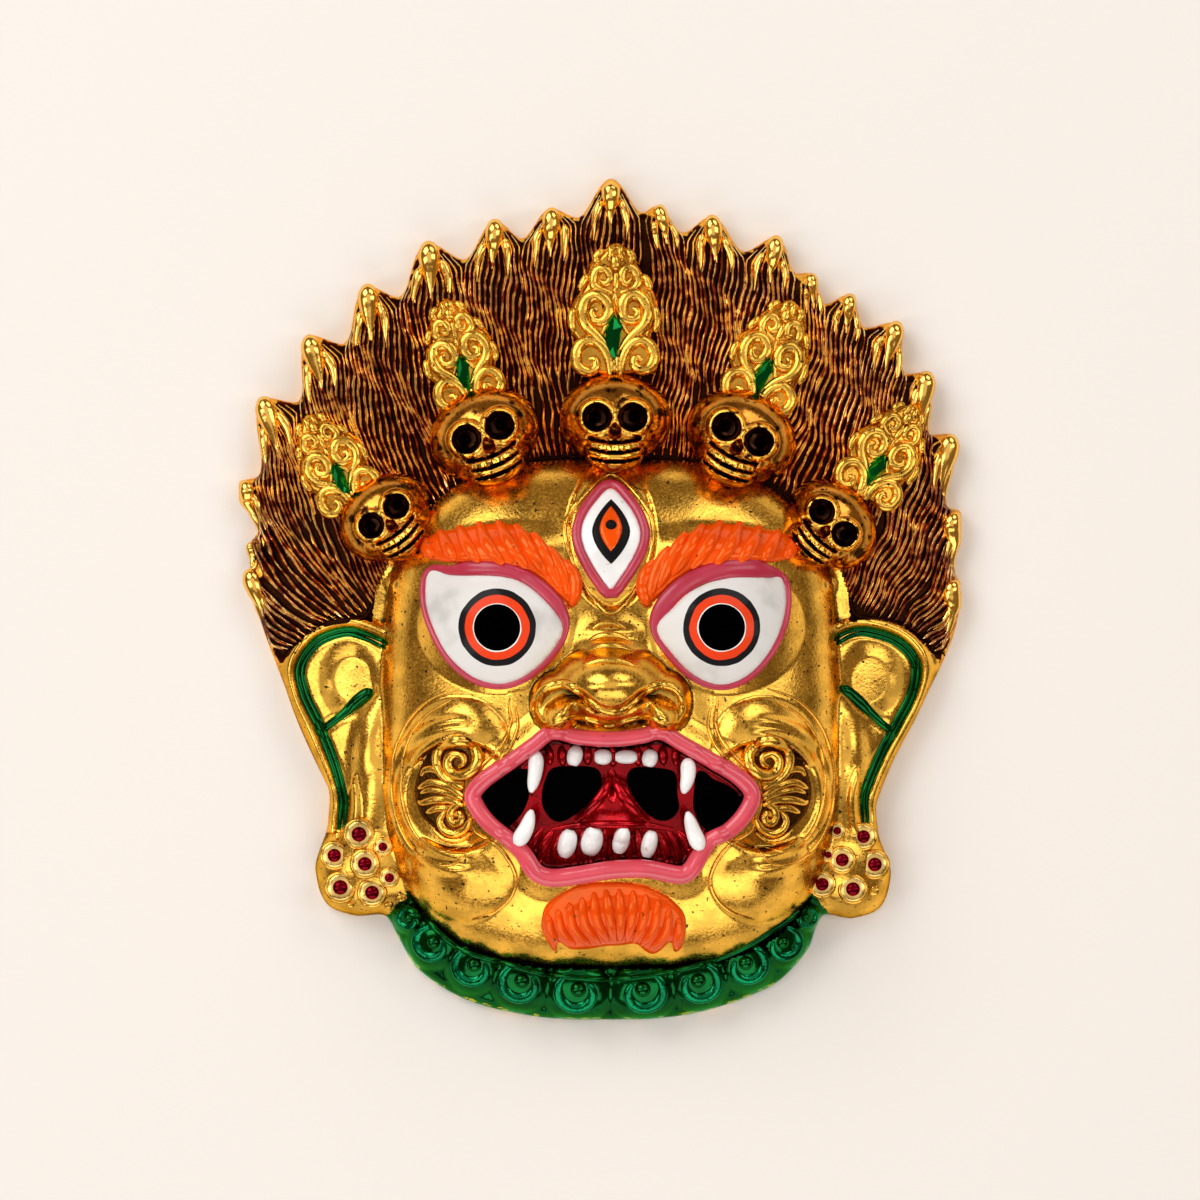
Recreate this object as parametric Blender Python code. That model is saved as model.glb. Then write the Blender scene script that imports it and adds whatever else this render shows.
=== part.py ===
"""A gilt wall mask of a wrathful guardian, cast as one thin hollow shell.

The mask lies face up on the ground rim of its open back: +Z leaves the face, +Y runs to the tip of the
hair, and the origin is under the middle of the outline. Blender works in metres. The carving is given in
parts, 200 to the mask's height, about a centre between and just below the eyes. The front and the hollow
back are two maps of height over one plan, joined by walls round the outline and the holes.
"""

import bmesh
import bpy
import numpy as np
from mathutils import Vector
from mathutils.geometry import delaunay_2d_cdt

# Driving sizes, in metres
MASK_HEIGHT = 0.200
WALL = 0.0028
RIM_WIDTH = 0.0032
RIM_HEIGHT = 0.0042
EYE_HOLE_RADIUS = 0.0055
FRONT_TRIANGLES = 7500
BACK_TRIANGLES = 1500
CLOSEST_POINTS = 0.0008
GILT_COLOUR = (0.83, 0.57, 0.16, 1.0)
GILT_ROUGHNESS = 0.25

PARTS_HIGH = 200
PART = MASK_HEIGHT / PARTS_HIGH

# Outline about the centre: degrees and parts, each tip of hair beside its notch, then ears and collar
OUTLINE = (
    (9.4, 83.9), (11.2, 83.2), (20.0, 88.5), (21.7, 85.9), (31.0, 94.5), (32.8, 90.2), (40.0, 98.4),
    (42.2, 94.4), (47.8, 101.4), (51.0, 95.7), (55.3, 99.7), (57.5, 94.6), (61.5, 99.1), (63.2, 97.6),
    (67.5, 103.5), (71.2, 97.5), (76.5, 103.5), (80.0, 98.3), (84.0, 103.7), (85.8, 101.8), (90.0, 109.6),
    (94.5, 100.7), (98.0, 103.5), (102.5, 97.7), (105.5, 103.4), (111.0, 96.9), (115.0, 104.0),
    (121.7, 95.8), (124.8, 102.3), (132.0, 94.8), (135.0, 102.0), (142.7, 93.5), (145.5, 100.9),
    (155.0, 92.4), (157.2, 95.9), (163.3, 87.6), (164.8, 88.7), (168.0, 86.5), (170.2, 87.9),
    (176.0, 84.0), (190.0, 77.9), (207.0, 75.8), (213.0, 80.2), (218.0, 89.2), (223.0, 92.3),
    (227.0, 89.7), (231.0, 84.8), (234.0, 86.6), (240.0, 90.9), (248.0, 92.3), (258.0, 91.5),
    (270.0, 90.4), (284.0, 91.1), (294.0, 90.9), (302.0, 87.6), (307.5, 82.8), (311.0, 87.8),
    (315.0, 90.3), (320.0, 86.9), (324.0, 78.6), (329.0, 73.9), (336.0, 73.0), (348.0, 75.5),
)
OUTLINE_STEPS = 300
FIRST_LOCK, LAST_LOCK = 9.4, 170.2

# Broad forms, in parts
FACE_HALF_WIDTH, FACE_HALF_HEIGHT, FACE_MIDDLE, FACE_SQUARENESS = 54.3, 60.4, -17.2, 3.2
FACE_FOOT, FACE_RISE = 10.0, 24.0
PLATE_RISE = 7.0
EDGE_ROUND = 2.2
HOLLOW_BEVEL = 1.6
RING_STEP = 4.0
HAIR_POINT_STEP = 7.5
GRID_STEP = 0.45
EYE_HOLE_SIDES = 22
STRAND_DEPTH, STRANDS_IN_LOCK, LOCK_SWELL = 1.5, 2, 1.2

# Skulls of the crown: middle, tilt in degrees, size; and the leaf above each, by the middle of its gem
SKULLS = (
    ((-51.7, 27.6), 41, 0.87), ((-29.0, 46.5), 21, 0.99), ((1.4, 51.9), 0, 1.0),
    ((30.9, 46.3), -25, 0.96), ((51.7, 27.1), -44, 0.85),
)
LEAVES = (
    ((-63.6, 38.5), 33, 0.82), ((-33.4, 63.1), 17, 0.88), ((0.9, 71.1), 0, 1.0),
    ((36.7, 63.3), -18, 0.90), ((63.2, 40.4), -34, 0.84),
)
SKULL_RADIUS, SKULL_FOOT, SKULL_RISE = 12.7, 12.0, 14.0
LEAF_LENGTH, LEAF_HALF_WIDTH, LEAF_GEM_UP, LEAF_RISE = 29.3, 10.1, 8.1, 5.0
LEAF_SCROLLS = ((6.1, 3.4, 3.3), (4.6, 14.6, 3.7), (3.6, 22.6, 2.5))

# One half of the face, mirrored over its middle line
EYE = (26.6, 2.9)
EYE_RIM = (
    (42.3, 16.2), (33.7, 14.3), (27.4, 14.8), (21.1, 13.1), (16.0, 9.3), (11.3, 3.6), (12.3, 1.1),
    (15.4, -3.4), (19.2, -7.2), (24.9, -9.7), (30.6, -9.1), (36.9, -4.0), (40.7, 2.9), (43.0, 9.3),
)
BROW = ((43.5, 21.4), (35.4, 22.4), (26.0, 23.2), (17.7, 20.5), (11.8, 14.9), (8.0, 9.0))
BROW_HALF_WIDTHS = (3.0, 4.8, 5.4, 5.2, 4.6, 3.2)
BROW_RIBS = 9
THIRD_EYE_MIDDLE, THIRD_EYE_UP, THIRD_EYE_DOWN, THIRD_EYE_HALF_WIDTH = 26.4, 11.0, 17.9, 9.5
LIPS = (
    (0.0, -21.5), (13.3, -20.5), (20.2, -24.4), (27.5, -29.3), (33.2, -36.0), (33.0, -39.0),
    (30.6, -44.4), (25.4, -47.5), (21.7, -53.0), (17.9, -57.0), (10.0, -56.9), (0.0, -55.6),
)
LIP_WIDTH = 3.4
OUTER_MOUTH_HOLE = (
    (19.2, -31.2), (21.4, -30.8), (25.3, -32.8), (28.4, -35.3), (29.4, -38.4), (28.2, -42.0),
    (24.9, -43.6), (21.5, -42.9), (19.6, -38.7),
)
INNER_MOUTH_HOLE = (
    (14.8, -31.1), (9.8, -29.6), (4.6, -29.6), (2.9, -31.1), (3.4, -34.6), (5.2, -38.2), (8.4, -41.4),
    (13.0, -42.3), (15.4, -40.3), (16.0, -35.6),
)
UPPER_FANG = ((17.4, -26.8), (17.6, -35.4))
LOWER_FANG = ((18.2, -40.2), (21.3, -47.8))
UPPER_TEETH, UPPER_TEETH_LEVEL = (-8.3, -1.7, 3.8, 9.2), -27.3
LOWER_TEETH, LOWER_TEETH_LEVEL = (-9.9, -4.3, 2.6, 9.2), -47.4
FAN, FAN_REACH, FAN_BLADE_WIDTH, FAN_FROM, FAN_TO = (34.8, -36.4), 11.4, 18.0, -45.0, 63.0
FAN_CURLS = ((36.4, -28.6, 5.0), (37.4, -43.8, 4.4))
BEARD, BEARD_HALF_WIDTH, BEARD_RIBS = (0.8, -66.5), 17.2, 18
BEARD_FOCUS = 16.0
EAR_LINE = (
    (54.5, 0.4), (61.0, 1.8), (66.9, 0.4), (71.5, -3.6), (72.5, -8.0), (71.4, -13.0), (68.7, -19.7),
    (64.6, -29.0), (62.3, -36.1), (62.1, -43.5),
)
EAR_BRANCH = ((66.8, -21.5), (63.0, -19.4), (60.0, -14.6), (55.5, -11.2))
EAR_TOP = 3.6
LEFT_BOSSES = (
    (-59.2, -45.8, 3.8), (-64.9, -50.9, 3.4), (-57.8, -53.0, 3.6), (-53.6, -49.0, 2.5),
    (-63.8, -58.4, 3.8), (-56.2, -59.5, 3.6), (-52.0, -56.1, 2.6),
)
RIGHT_BOSSES = (
    (53.7, -45.2, 2.2), (59.8, -46.7, 3.6), (54.8, -51.9, 3.5), (62.6, -53.1, 3.8),
    (50.6, -57.7, 3.2), (57.1, -58.9, 3.6), (62.4, -59.1, 1.7),
)
COLLAR_FROM, COLLAR_TO, COLLAR_RADIUS, COLLAR_RISE = 233.0, 306.0, 84.4, 7.0
COLLAR_SCROLLS = (235.1, 241.2, 247.9, 256.0, 264.9, 274.8, 284.0, 293.0, 300.0, 304.9)
COLLAR_SCROLL_RADIUS = 5.4


def ramp(value, low, high):
    """0 below low, 1 above high, and a smooth step between them."""
    t = np.clip((value - low) / (high - low), 0.0, 1.0)
    return t * t * (3.0 - 2.0 * t)


def dome(share):
    """The height of a unit half ball at that share of its radius, and 0 outside it."""
    return np.sqrt(np.clip(1.0 - share * share, 0.0, 1.0))


def swell(share):
    """A soft swelling, 1 in the middle and level with the ground at share 1."""
    return np.clip(1.0 - share * share, 0.0, 1.0) ** 2


def bulb(share):
    """A round swelling that is steeper at its foot than swell."""
    return np.clip(1.0 - share * share, 0.0, 1.0) ** 0.8


def turned(u, v, middle, degrees):
    """Plan coordinates in a frame at middle that is turned anticlockwise by degrees."""
    angle = np.radians(degrees)
    du, dv = u - middle[0], v - middle[1]
    return du * np.cos(angle) + dv * np.sin(angle), dv * np.cos(angle) - du * np.sin(angle)


def along_path(u, v, points):
    """Distance to an open path, and how far along it the nearest point is, from 0 to 1."""
    points = np.asarray(points, float)
    steps = np.linalg.norm(np.diff(points, axis=0), axis=1)
    starts = np.concatenate(([0.0], np.cumsum(steps)))
    nearest = np.full(np.shape(u), np.inf)
    share = np.zeros(np.shape(u))
    for start, end, length, done in zip(points[:-1], points[1:], steps, starts):
        run = (end - start) / length
        t = np.clip((u - start[0]) * run[0] + (v - start[1]) * run[1], 0.0, length)
        gap = np.hypot(u - start[0] - t * run[0], v - start[1] - t * run[1])
        closer = gap < nearest
        nearest = np.where(closer, gap, nearest)
        share = np.where(closer, (done + t) / starts[-1], share)
    return nearest, share


def inside_distance(u, v, loop):
    """Distance to a closed loop, above 0 inside it and below 0 outside."""
    loop = np.asarray(loop, float)
    gap, _ = along_path(u, v, np.vstack((loop, loop[:1])))
    inside = np.zeros(np.shape(u), bool)
    for (u0, v0), (u1, v1) in zip(loop, np.roll(loop, -1, axis=0)):
        crosses = (v0 > v) != (v1 > v)
        side = u0 + (v - v0) * (u1 - u0) / np.where(v1 == v0, 1.0, v1 - v0)
        inside ^= crosses & (u < side)
    return np.where(inside, gap, -gap)


def mirrored_loop(half):
    """A whole loop from its right half, which starts and ends on the middle line."""
    return list(half) + [(-u, v) for u, v in reversed(half[1:-1])]


def smooth_loop(points, steps_each):
    """A closed curve through the points, with the given number of steps between each two."""
    points = np.asarray(points, float)
    a, b, c, d = (np.roll(points, shift, axis=0)[:, None] for shift in (1, 0, -1, -2))
    t = (np.arange(steps_each) / steps_each)[None, :, None]
    curve = b + 0.5 * t * (c - a + t * (2 * a - 5 * b + 4 * c - d + t * (3 * (b - c) + d - a)))
    return curve.reshape(-1, 2)


EYE_LOOP = smooth_loop(EYE_RIM, 2)
LIP_LOOP = smooth_loop(mirrored_loop(LIPS), 2)


def outline_radius(degrees):
    """Radius of the outline: a smooth curve that keeps each tip and notch as a turning point."""
    at, size = np.array(OUTLINE).T
    at = np.concatenate((at[-2:] - 360, at, at[:3] + 360))
    size = np.concatenate((size[-2:], size, size[:3]))
    slope = np.diff(size) / np.diff(at)
    before, after = slope[:-1], slope[1:]
    same_way = before * after > 0
    safe = np.where(same_way, before + after, 1.0)
    tangent = np.concatenate(([0.0], np.where(same_way, 2 * before * after / safe, 0.0), [0.0]))
    degrees = (np.asarray(degrees) - OUTLINE[0][0]) % 360 + OUTLINE[0][0]
    i = np.clip(np.searchsorted(at, degrees, side="right") - 1, 0, len(at) - 2)
    step = at[i + 1] - at[i]
    t = (degrees - at[i]) / step
    return (
        size[i] * (1 + 2 * t) * (1 - t) ** 2
        + size[i + 1] * t * t * (3 - 2 * t)
        + step * t * (1 - t) * (tangent[i] * (1 - t) - tangent[i + 1] * t)
    )


def outline_loop():
    """Points round the outline, evenly spaced in angle, with one on each tip and notch."""
    even = np.arange(OUTLINE_STEPS) * 360 / OUTLINE_STEPS
    listed = np.array(OUTLINE)[:, 0] % 360
    gap = np.abs((even[:, None] - listed + 180) % 360 - 180).min(axis=1)
    angles = np.sort(np.concatenate((even[gap > 0.3 * 360 / OUTLINE_STEPS], listed)))
    radii = outline_radius(angles)
    angles = np.radians(angles)
    return np.column_stack((radii * np.cos(angles), radii * np.sin(angles)))


def face_share(u, v, inset=0.0):
    """0 in the middle of the face and 1 on its edge, which is a rounded oblong."""
    across = np.abs(u) / (FACE_HALF_WIDTH - inset)
    up = np.abs(v - FACE_MIDDLE) / (FACE_HALF_HEIGHT - inset)
    return (across**FACE_SQUARENESS + up**FACE_SQUARENESS) ** (1 / FACE_SQUARENESS)


def face_edge(degrees):
    """Distance from the centre to the edge of the face, found by halving."""
    angle = np.radians(degrees)
    low, high = np.zeros(np.shape(angle)), np.full(np.shape(angle), float(PARTS_HIGH))
    for _ in range(24):
        middle = (low + high) / 2
        out = face_share(middle * np.cos(angle), middle * np.sin(angle)) > 1
        low, high = np.where(out, low, middle), np.where(out, middle, high)
    return low


def bare_plate(u, v):
    """The sloping plate of hair, ears and collar, with no carving on it."""
    degrees = np.degrees(np.arctan2(v, u)) % 360
    outer, inner = outline_radius(degrees), face_edge(degrees)
    share = np.clip((outer - np.hypot(u, v)) / (outer - inner), 0.0, 1.0)
    return RIM_HEIGHT / PART + PLATE_RISE * share**0.8


def bare_face(u, v, inset=0.0):
    """The domed face with no carving on it."""
    share = np.clip(face_share(u, v, inset), 0.0, 1.0)
    return FACE_FOOT + FACE_RISE * (1 - share**2.6) ** 0.55


def notch_angles():
    """The notches between the locks of hair, with one more lock on each side down to the ears."""
    notches = [at for at, size in OUTLINE[1:38:2] if FIRST_LOCK < at < LAST_LOCK]
    return np.array([-5.0, 3.0] + notches + [176.0, 184.0])


def lock_number(degrees):
    """A count that rises by one from each notch of the hair to the next."""
    notches = notch_angles()
    return np.interp((degrees + 90) % 360 - 90, notches, np.arange(len(notches)))


def hair_wave(radius, degrees):
    """How far, in degrees, the strands sway aside at that place."""
    return 1.6 * np.sin(radius * 0.21 + degrees * 0.05) * ramp(radius, 50, 60) * ramp(-radius, -98, -88)


def hair(u, v):
    """Rounded locks, each of a few wavy strands, that run out from the face into the tips."""
    radius = np.hypot(u, v)
    degrees = np.degrees(np.arctan2(v, u)) % 360
    number = lock_number(degrees + hair_wave(radius, degrees))
    strands = 0.5 - 0.5 * np.cos(2 * np.pi * STRANDS_IN_LOCK * number)
    return STRAND_DEPTH * strands**0.7 + LOCK_SWELL * np.abs(np.sin(np.pi * number)) ** 0.8


def in_hair(u, v):
    """1 where the plate is hair, 0 on the ears and collar."""
    degrees = (np.degrees(np.arctan2(v, u)) + 90) % 360 - 90
    ear_edge = EAR_TOP + 1.0 - 0.055 * (np.abs(u) - 63.0) ** 2
    return ((degrees > -10) & (degrees < 190) & (v > ear_edge)).astype(float)


def skull(u, v, middle, tilt, size):
    """One skull of the crown: a round cranium with sockets, a nose hole and a toothed jaw."""
    x, y = turned(u, v, middle, tilt)
    x, y = x / size, y / size
    cranium = SKULL_RISE * dome(np.hypot(x, y) / SKULL_RADIUS)
    jaw = 12.5 * dome(((np.abs(x) / 8.6) ** 3 + (np.abs(y + 8.0) / 4.4) ** 3) ** (1 / 3)) ** 0.5
    head = np.maximum(cranium, jaw)
    for side in (-4.3, 4.2):
        socket = np.hypot(x - side, y - 0.3)
        head = head + 0.8 * swell((socket - 3.7) / 1.2)
        head = head - 5.0 * ramp(-socket, -3.5, -2.4)
    head = head - 1.6 * swell(np.hypot(x, (y + 3.6) * 0.8) / 1.7)
    bite = ramp(-np.abs(x), -6.8, -6.0)
    head = head - 0.9 * swell((y + 7.9) / 0.9) * bite
    return np.where(head > 0.4, SKULL_FOOT + head * size, -1.0)


def leaf_half_width(level):
    """Half the leaf's width at that height above its foot."""
    up = np.clip(level / LEAF_LENGTH, 0.0, 1.0)
    return LEAF_HALF_WIDTH * (0.62 + 0.38 * np.sin(np.pi * np.clip(up * 1.6 - 0.25, 0, 1))) * (1 - up**3.2)


def leaf(u, v, middle, tilt, size):
    """The scrolled leaf over a skull, as a height above the plate, with a gem in its middle."""
    x, y = turned(u, v, middle, tilt)
    x, y = x / size, y / size + LEAF_GEM_UP
    share = np.abs(x) / np.maximum(leaf_half_width(y), 0.01)
    rise = LEAF_RISE * dome(share) * ramp(y, -2.5, -0.5)
    for across, level, radius in LEAF_SCROLLS:
        away = np.hypot(np.abs(x) - across, y - level)
        rise = rise + 1.1 * swell((away - 0.62 * radius) / (0.45 * radius))
    gem = np.abs(x) / 1.8 + np.abs(y - LEAF_GEM_UP) / 4.6
    rise = np.maximum(rise, 4.6 * np.clip(1.25 - gem, 0.0, 1.0))
    return np.where(y > -3, rise * size, 0.0)


def ear(across, v):
    """The long ear: a raised rim, a hollow bowl and a green channel with a branch."""
    line, share = along_path(across, v, EAR_LINE)
    branch, _ = along_path(across, v, EAR_BRANCH)
    bowl = np.hypot((across - 62.0) / 8.5, (v + 9.0) / 9.5)
    lobe = np.hypot((across - 58.0) / 6.0, (v + 33.0) / 13.0)
    ear_height = 2.2 * ramp(-v, -EAR_TOP - 1.5, -EAR_TOP + 1.0)
    ear_height = ear_height - 3.2 * swell(bowl) + 1.6 * swell(lobe)
    ear_height = ear_height - 1.2 * swell(line / 1.7) - 0.9 * swell(branch / 1.7)
    return ear_height + 0.9 * swell((line - 3.0) / 1.4) * ramp(share, 0.02, 0.1)


def nose(across, v):
    """The broad nose: wrinkles over the bridge, a ball and two flared wings."""
    bridge = 4.5 * swell(across / 8.5) * ramp(-v, -9, 4) * ramp(v, -13, -8)
    wrinkles = 0.55 * np.cos(2 * np.pi * (v - 3.6) / 3.4) * swell(across / 8.0) * swell((v + 0.8) / 7.5)
    ball = 12.0 * bulb(np.hypot(across / 12.0, (v + 10.6) / 9.0))
    wing = 9.0 * bulb(np.hypot((across - 11.8) / 9.0, (v + 14.0) / 6.6))
    nostril = 3.5 * swell(np.hypot((across - 9.0) / 5.0, (v + 18.4) / 2.4))
    return bridge + wrinkles + np.maximum(ball, wing) - nostril


def eye(across, v):
    """The bulging eye inside its raised rim."""
    rim = inside_distance(across, v, EYE_LOOP)
    ball = np.hypot(across - EYE[0], v - EYE[1])
    lid = 1.8 * swell((rim + 1.3) / 1.9)
    return lid + 4.2 * swell(ball / 17.0) * ramp(rim, -3.0, 1.0) - 1.2 * swell((rim - 1.0) / 1.2)


def brow(across, v):
    """The flaming brow, ribbed across like a twisted rope."""
    gap, share = along_path(across, v, BROW)
    width = np.interp(share, np.linspace(0, 1, len(BROW_HALF_WIDTHS)), BROW_HALF_WIDTHS)
    slant = share + 0.055 * (v - 18.0) / 5.0
    ribs = 0.75 + 0.25 * np.abs(np.sin(np.pi * BROW_RIBS * slant))
    return 6.2 * dome(gap / width) * ribs


def third_eye(u, v):
    """The upright eye in the forehead, an almond in a raised rim."""
    reach = np.where(v > THIRD_EYE_MIDDLE, THIRD_EYE_UP, THIRD_EYE_DOWN)
    up = np.abs(v - THIRD_EYE_MIDDLE) / reach
    share = np.abs(u) / THIRD_EYE_HALF_WIDTH + up**1.6
    return 2.4 * ramp(-share, -1.12, -0.9) - 1.0 * ramp(-share, -0.85, -0.6) + 1.6 * swell(share / 0.55)


def lips_and_teeth(u, across, v):
    """Height above the face, and the share that the mouth's sunken inside takes of that point."""
    edge = inside_distance(u, v, LIP_LOOP)
    lip = 4.6 * dome((edge - LIP_WIDTH / 2) / (0.62 * LIP_WIDTH))
    inside = ramp(edge, LIP_WIDTH - 0.6, LIP_WIDTH + 1.0)
    teeth = np.zeros(np.shape(u))
    for level, row in ((UPPER_TEETH_LEVEL, UPPER_TEETH), (LOWER_TEETH_LEVEL, LOWER_TEETH)):
        for place in row:
            teeth = np.maximum(teeth, 3.8 * bulb(np.hypot((u - place) / 2.4, (v - level) / 3.4)))
    fangs = 0.0
    for path in (UPPER_FANG, LOWER_FANG):
        gap, _ = along_path(across, v, path)
        fangs = np.maximum(fangs, 6.4 * dome(gap / 2.4))
    tongue = 3.0 * swell(np.hypot(u / 6.0, (v + 37.5) / 7.5))
    return lip, inside, teeth, fangs, tongue


def cheeks(across, v):
    """The apple of the cheek, the jowl below it, and the fan of blades and curls at the mouth's corner."""
    apple = 4.0 * swell(np.hypot((across - 37.0) / 17.0, (v + 24.0) / 17.0))
    jowl = 3.2 * swell(np.hypot((across - 33.0) / 15.0, (v + 59.0) / 13.0))
    reach = np.hypot(across - FAN[0], v - FAN[1])
    turn = np.degrees(np.arctan2(v - FAN[1], across - FAN[0]))
    blade = np.abs(np.sin(np.pi * (turn - FAN_FROM) / FAN_BLADE_WIDTH))
    open_fan = ramp(turn, FAN_FROM - 3, FAN_FROM + 3) * ramp(-turn, -FAN_TO - 3, -FAN_TO + 3)
    fan = (0.6 + 2.2 * blade) * ramp(FAN_REACH * (0.82 + 0.18 * blade) - reach, -0.6, 0.6) * open_fan
    fan = fan * ramp(reach, 2.0, 5.0)
    for middle, level, radius in FAN_CURLS:
        share = np.hypot(across - middle, v - level) / radius
        fan = np.maximum(fan, 3.0 * dome(share)) - 1.3 * swell((share - 0.52) / 0.22)
    return apple + jowl + fan


def beard(u, v):
    """The short ribbed beard under the lip, a scallop shell in outline."""
    x, y = u - BEARD[0], v - BEARD[1]
    share = np.hypot(x / BEARD_HALF_WIDTH, (y + 1.0) / 10.0)
    notch = swell(np.hypot(x / 11.0, (y + 10.5) / 5.5))
    turn = np.arctan2(y + BEARD_FOCUS, x)
    ribs = 0.65 + 0.35 * np.abs(np.sin(turn * BEARD_RIBS))
    return 4.6 * dome(share) * ribs * (1 - 0.9 * notch)


def bosses(u, v):
    """The ringed bosses that cover the two earrings."""
    height = np.zeros(np.shape(u))
    for across, up, radius in LEFT_BOSSES + RIGHT_BOSSES:
        away = np.hypot(u - across, v - up) / radius
        height = np.maximum(height, 2.2 * dome(away) - 0.8 * swell(away / 0.6))
    return height


def collar(u, v):
    """The rolled collar under the chin, with a curl on each of its scrolls."""
    degrees = np.degrees(np.arctan2(v, u)) % 360
    radius = np.hypot(u, v)
    ends = ramp(degrees, COLLAR_FROM - 2, COLLAR_FROM + 2) * ramp(-degrees, -COLLAR_TO - 2, -COLLAR_TO + 2)
    roll = COLLAR_RISE * dome((radius - COLLAR_RADIUS) / 6.6)
    for at in COLLAR_SCROLLS:
        angle = np.radians(at)
        away = np.hypot(u - COLLAR_RADIUS * np.cos(angle), v - COLLAR_RADIUS * np.sin(angle))
        share = away / COLLAR_SCROLL_RADIUS
        roll = roll + 2.2 * swell(share) - 1.3 * swell((share - 0.5) / 0.2)
    return np.maximum(roll, 0.0) * ends


def front(u, v):
    """Height of the carved front, in parts."""
    across = np.abs(u)
    plate = bare_plate(u, v)
    carved = plate + in_hair(u, v) * hair(u, v) + collar(u, v)
    in_ear = (1 - in_hair(u, v)) * (v > -46.0)
    carved = carved + in_ear * ear(across, v)
    for middle, tilt, size in LEAVES:
        carved = np.maximum(carved, plate + leaf(u, v, middle, tilt, size))
    carved = carved + bosses(u, v)
    share = face_share(u, v)
    bare = bare_face(u, v)
    face = bare + nose(across, v) + cheeks(across, v) + third_eye(u, v) + eye(across, v)
    ridge = brow(across, v)
    face = np.where(ridge > 0.05, np.maximum(face, bare + ridge), face)
    lip, inside, teeth, fangs, tongue = lips_and_teeth(u, across, v)
    face = face + beard(u, v) + lip
    mouth_floor = bare - 4.5 + teeth + tongue
    face = face * (1 - inside) + mouth_floor * inside
    face = np.where(fangs > 0, np.maximum(face, bare - 2.5 + fangs), face)
    height = np.where(share < 1, np.maximum(face, carved - 3.0), carved)
    for middle, tilt, size in SKULLS:
        height = np.maximum(height, skull(u, v, middle, tilt, size))
    near = outline_radius(np.degrees(np.arctan2(v, u)) % 360) - np.hypot(u, v) < 4 * EDGE_ROUND
    inward = inside_distance(u[near], v[near], outline_loop())
    height[near] -= 0.7 * EDGE_ROUND * (1 - np.clip(inward / EDGE_ROUND, 0, 1)) ** 2
    return height


def rim_radius(degrees):
    """Inner edge of the flat ground rim, which runs past the notches so that the tips are solid."""
    window = np.linspace(-6.0, 6.0, 13)
    nearest = np.min([outline_radius(degrees + shift) for shift in window], axis=0)
    return nearest - RIM_WIDTH / PART


def back(u, v):
    """Height of the hollow back: level on the rim, and a wall's thickness under the bare forms."""
    wall = WALL / PART
    degrees = np.degrees(np.arctan2(v, u)) % 360
    inward = rim_radius(degrees) - np.hypot(u, v)
    plate = bare_plate(u, v) - wall - STRAND_DEPTH / 2
    face = np.where(face_share(u, v, wall) < 1, bare_face(u, v, wall) - wall, 0.0)
    return np.maximum(plate, face) * ramp(inward, 0.0, HOLLOW_BEVEL)


class HeightMap:
    """Heights worked out once on a square grid over the plan, and read off between its points."""

    def __init__(self, heights):
        plan = outline_loop()
        self.start = plan.min(axis=0) - 2.0
        count = np.ceil((plan.max(axis=0) + 2.0 - self.start) / GRID_STEP).astype(int) + 1
        axes = [self.start[i] + np.arange(count[i]) * GRID_STEP for i in (0, 1)]
        self.heights = heights(*np.meshgrid(*axes, indexing="ij"))

    def lowered_under(self, other, gap):
        """Keep every height at least gap below the lowest of the other map round that spot."""
        lowest = other.heights.copy()
        for axis in (0, 1):
            rows = [np.roll(lowest, shift, axis=axis) for shift in range(-4, 5)]
            lowest = np.min(rows, axis=0)
        self.heights = np.maximum(np.minimum(self.heights, lowest - gap), 0.0)

    def at(self, points):
        """Heights at an array of plan points, whose last axis holds u and v."""
        place = np.clip((points - self.start) / GRID_STEP, 0, np.array(self.heights.shape) - 1.001)
        cell = place.astype(int)
        i, j = cell[..., 0], cell[..., 1]
        s, t = place[..., 0] - i, place[..., 1] - j
        h = self.heights
        low = h[i, j] * (1 - s) + h[i + 1, j] * s
        high = h[i, j + 1] * (1 - s) + h[i + 1, j + 1] * s
        return low * (1 - t) + high * t


def hole_loops():
    """The six holes right through the mask: two pupils and the gaps between teeth, fangs and tongue."""
    turn = np.radians(np.arange(EYE_HOLE_SIDES) * 360 / EYE_HOLE_SIDES)
    pupil = np.column_stack((np.cos(turn), np.sin(turn))) * EYE_HOLE_RADIUS / PART + EYE
    mouth = [smooth_loop(loop, 2) for loop in (OUTER_MOUTH_HOLE, INNER_MOUTH_HOLE)]
    loops = [pupil] + mouth
    return loops + [loop * (-1, 1) for loop in loops]


def in_loop(points, loop):
    """Whether each point is inside the closed loop."""
    u, v = points.T
    inside = np.zeros(len(points), bool)
    for (u0, v0), (u1, v1) in zip(loop, np.roll(loop, -1, axis=0)):
        crosses = (v0 > v) != (v1 > v)
        inside ^= crosses & (u < u0 + (v - v0) * (u1 - u0) / (v1 - v0 if v1 != v0 else 1.0))
    return inside


def triangulated(points, loops, edges):
    """Triangles between the first loop and the others that keep the given edges."""
    plan = [Vector(point) for point in points]
    result = delaunay_2d_cdt(plan, edges, [], 0, 1e-7, False)
    triangles = np.array([face for face in result[2]])
    middles = points[triangles].mean(axis=1)
    keep = in_loop(middles, loops[0])
    for hole in loops[1:]:
        keep &= ~in_loop(middles, hole)
    triangles = triangles[keep]
    a, b, c = (points[triangles[:, i]] for i in range(3))
    ahead, over = b - a, c - a
    turned_down = ahead[:, 0] * over[:, 1] < ahead[:, 1] * over[:, 0]
    triangles[turned_down] = triangles[turned_down][:, ::-1]
    return triangles


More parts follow.
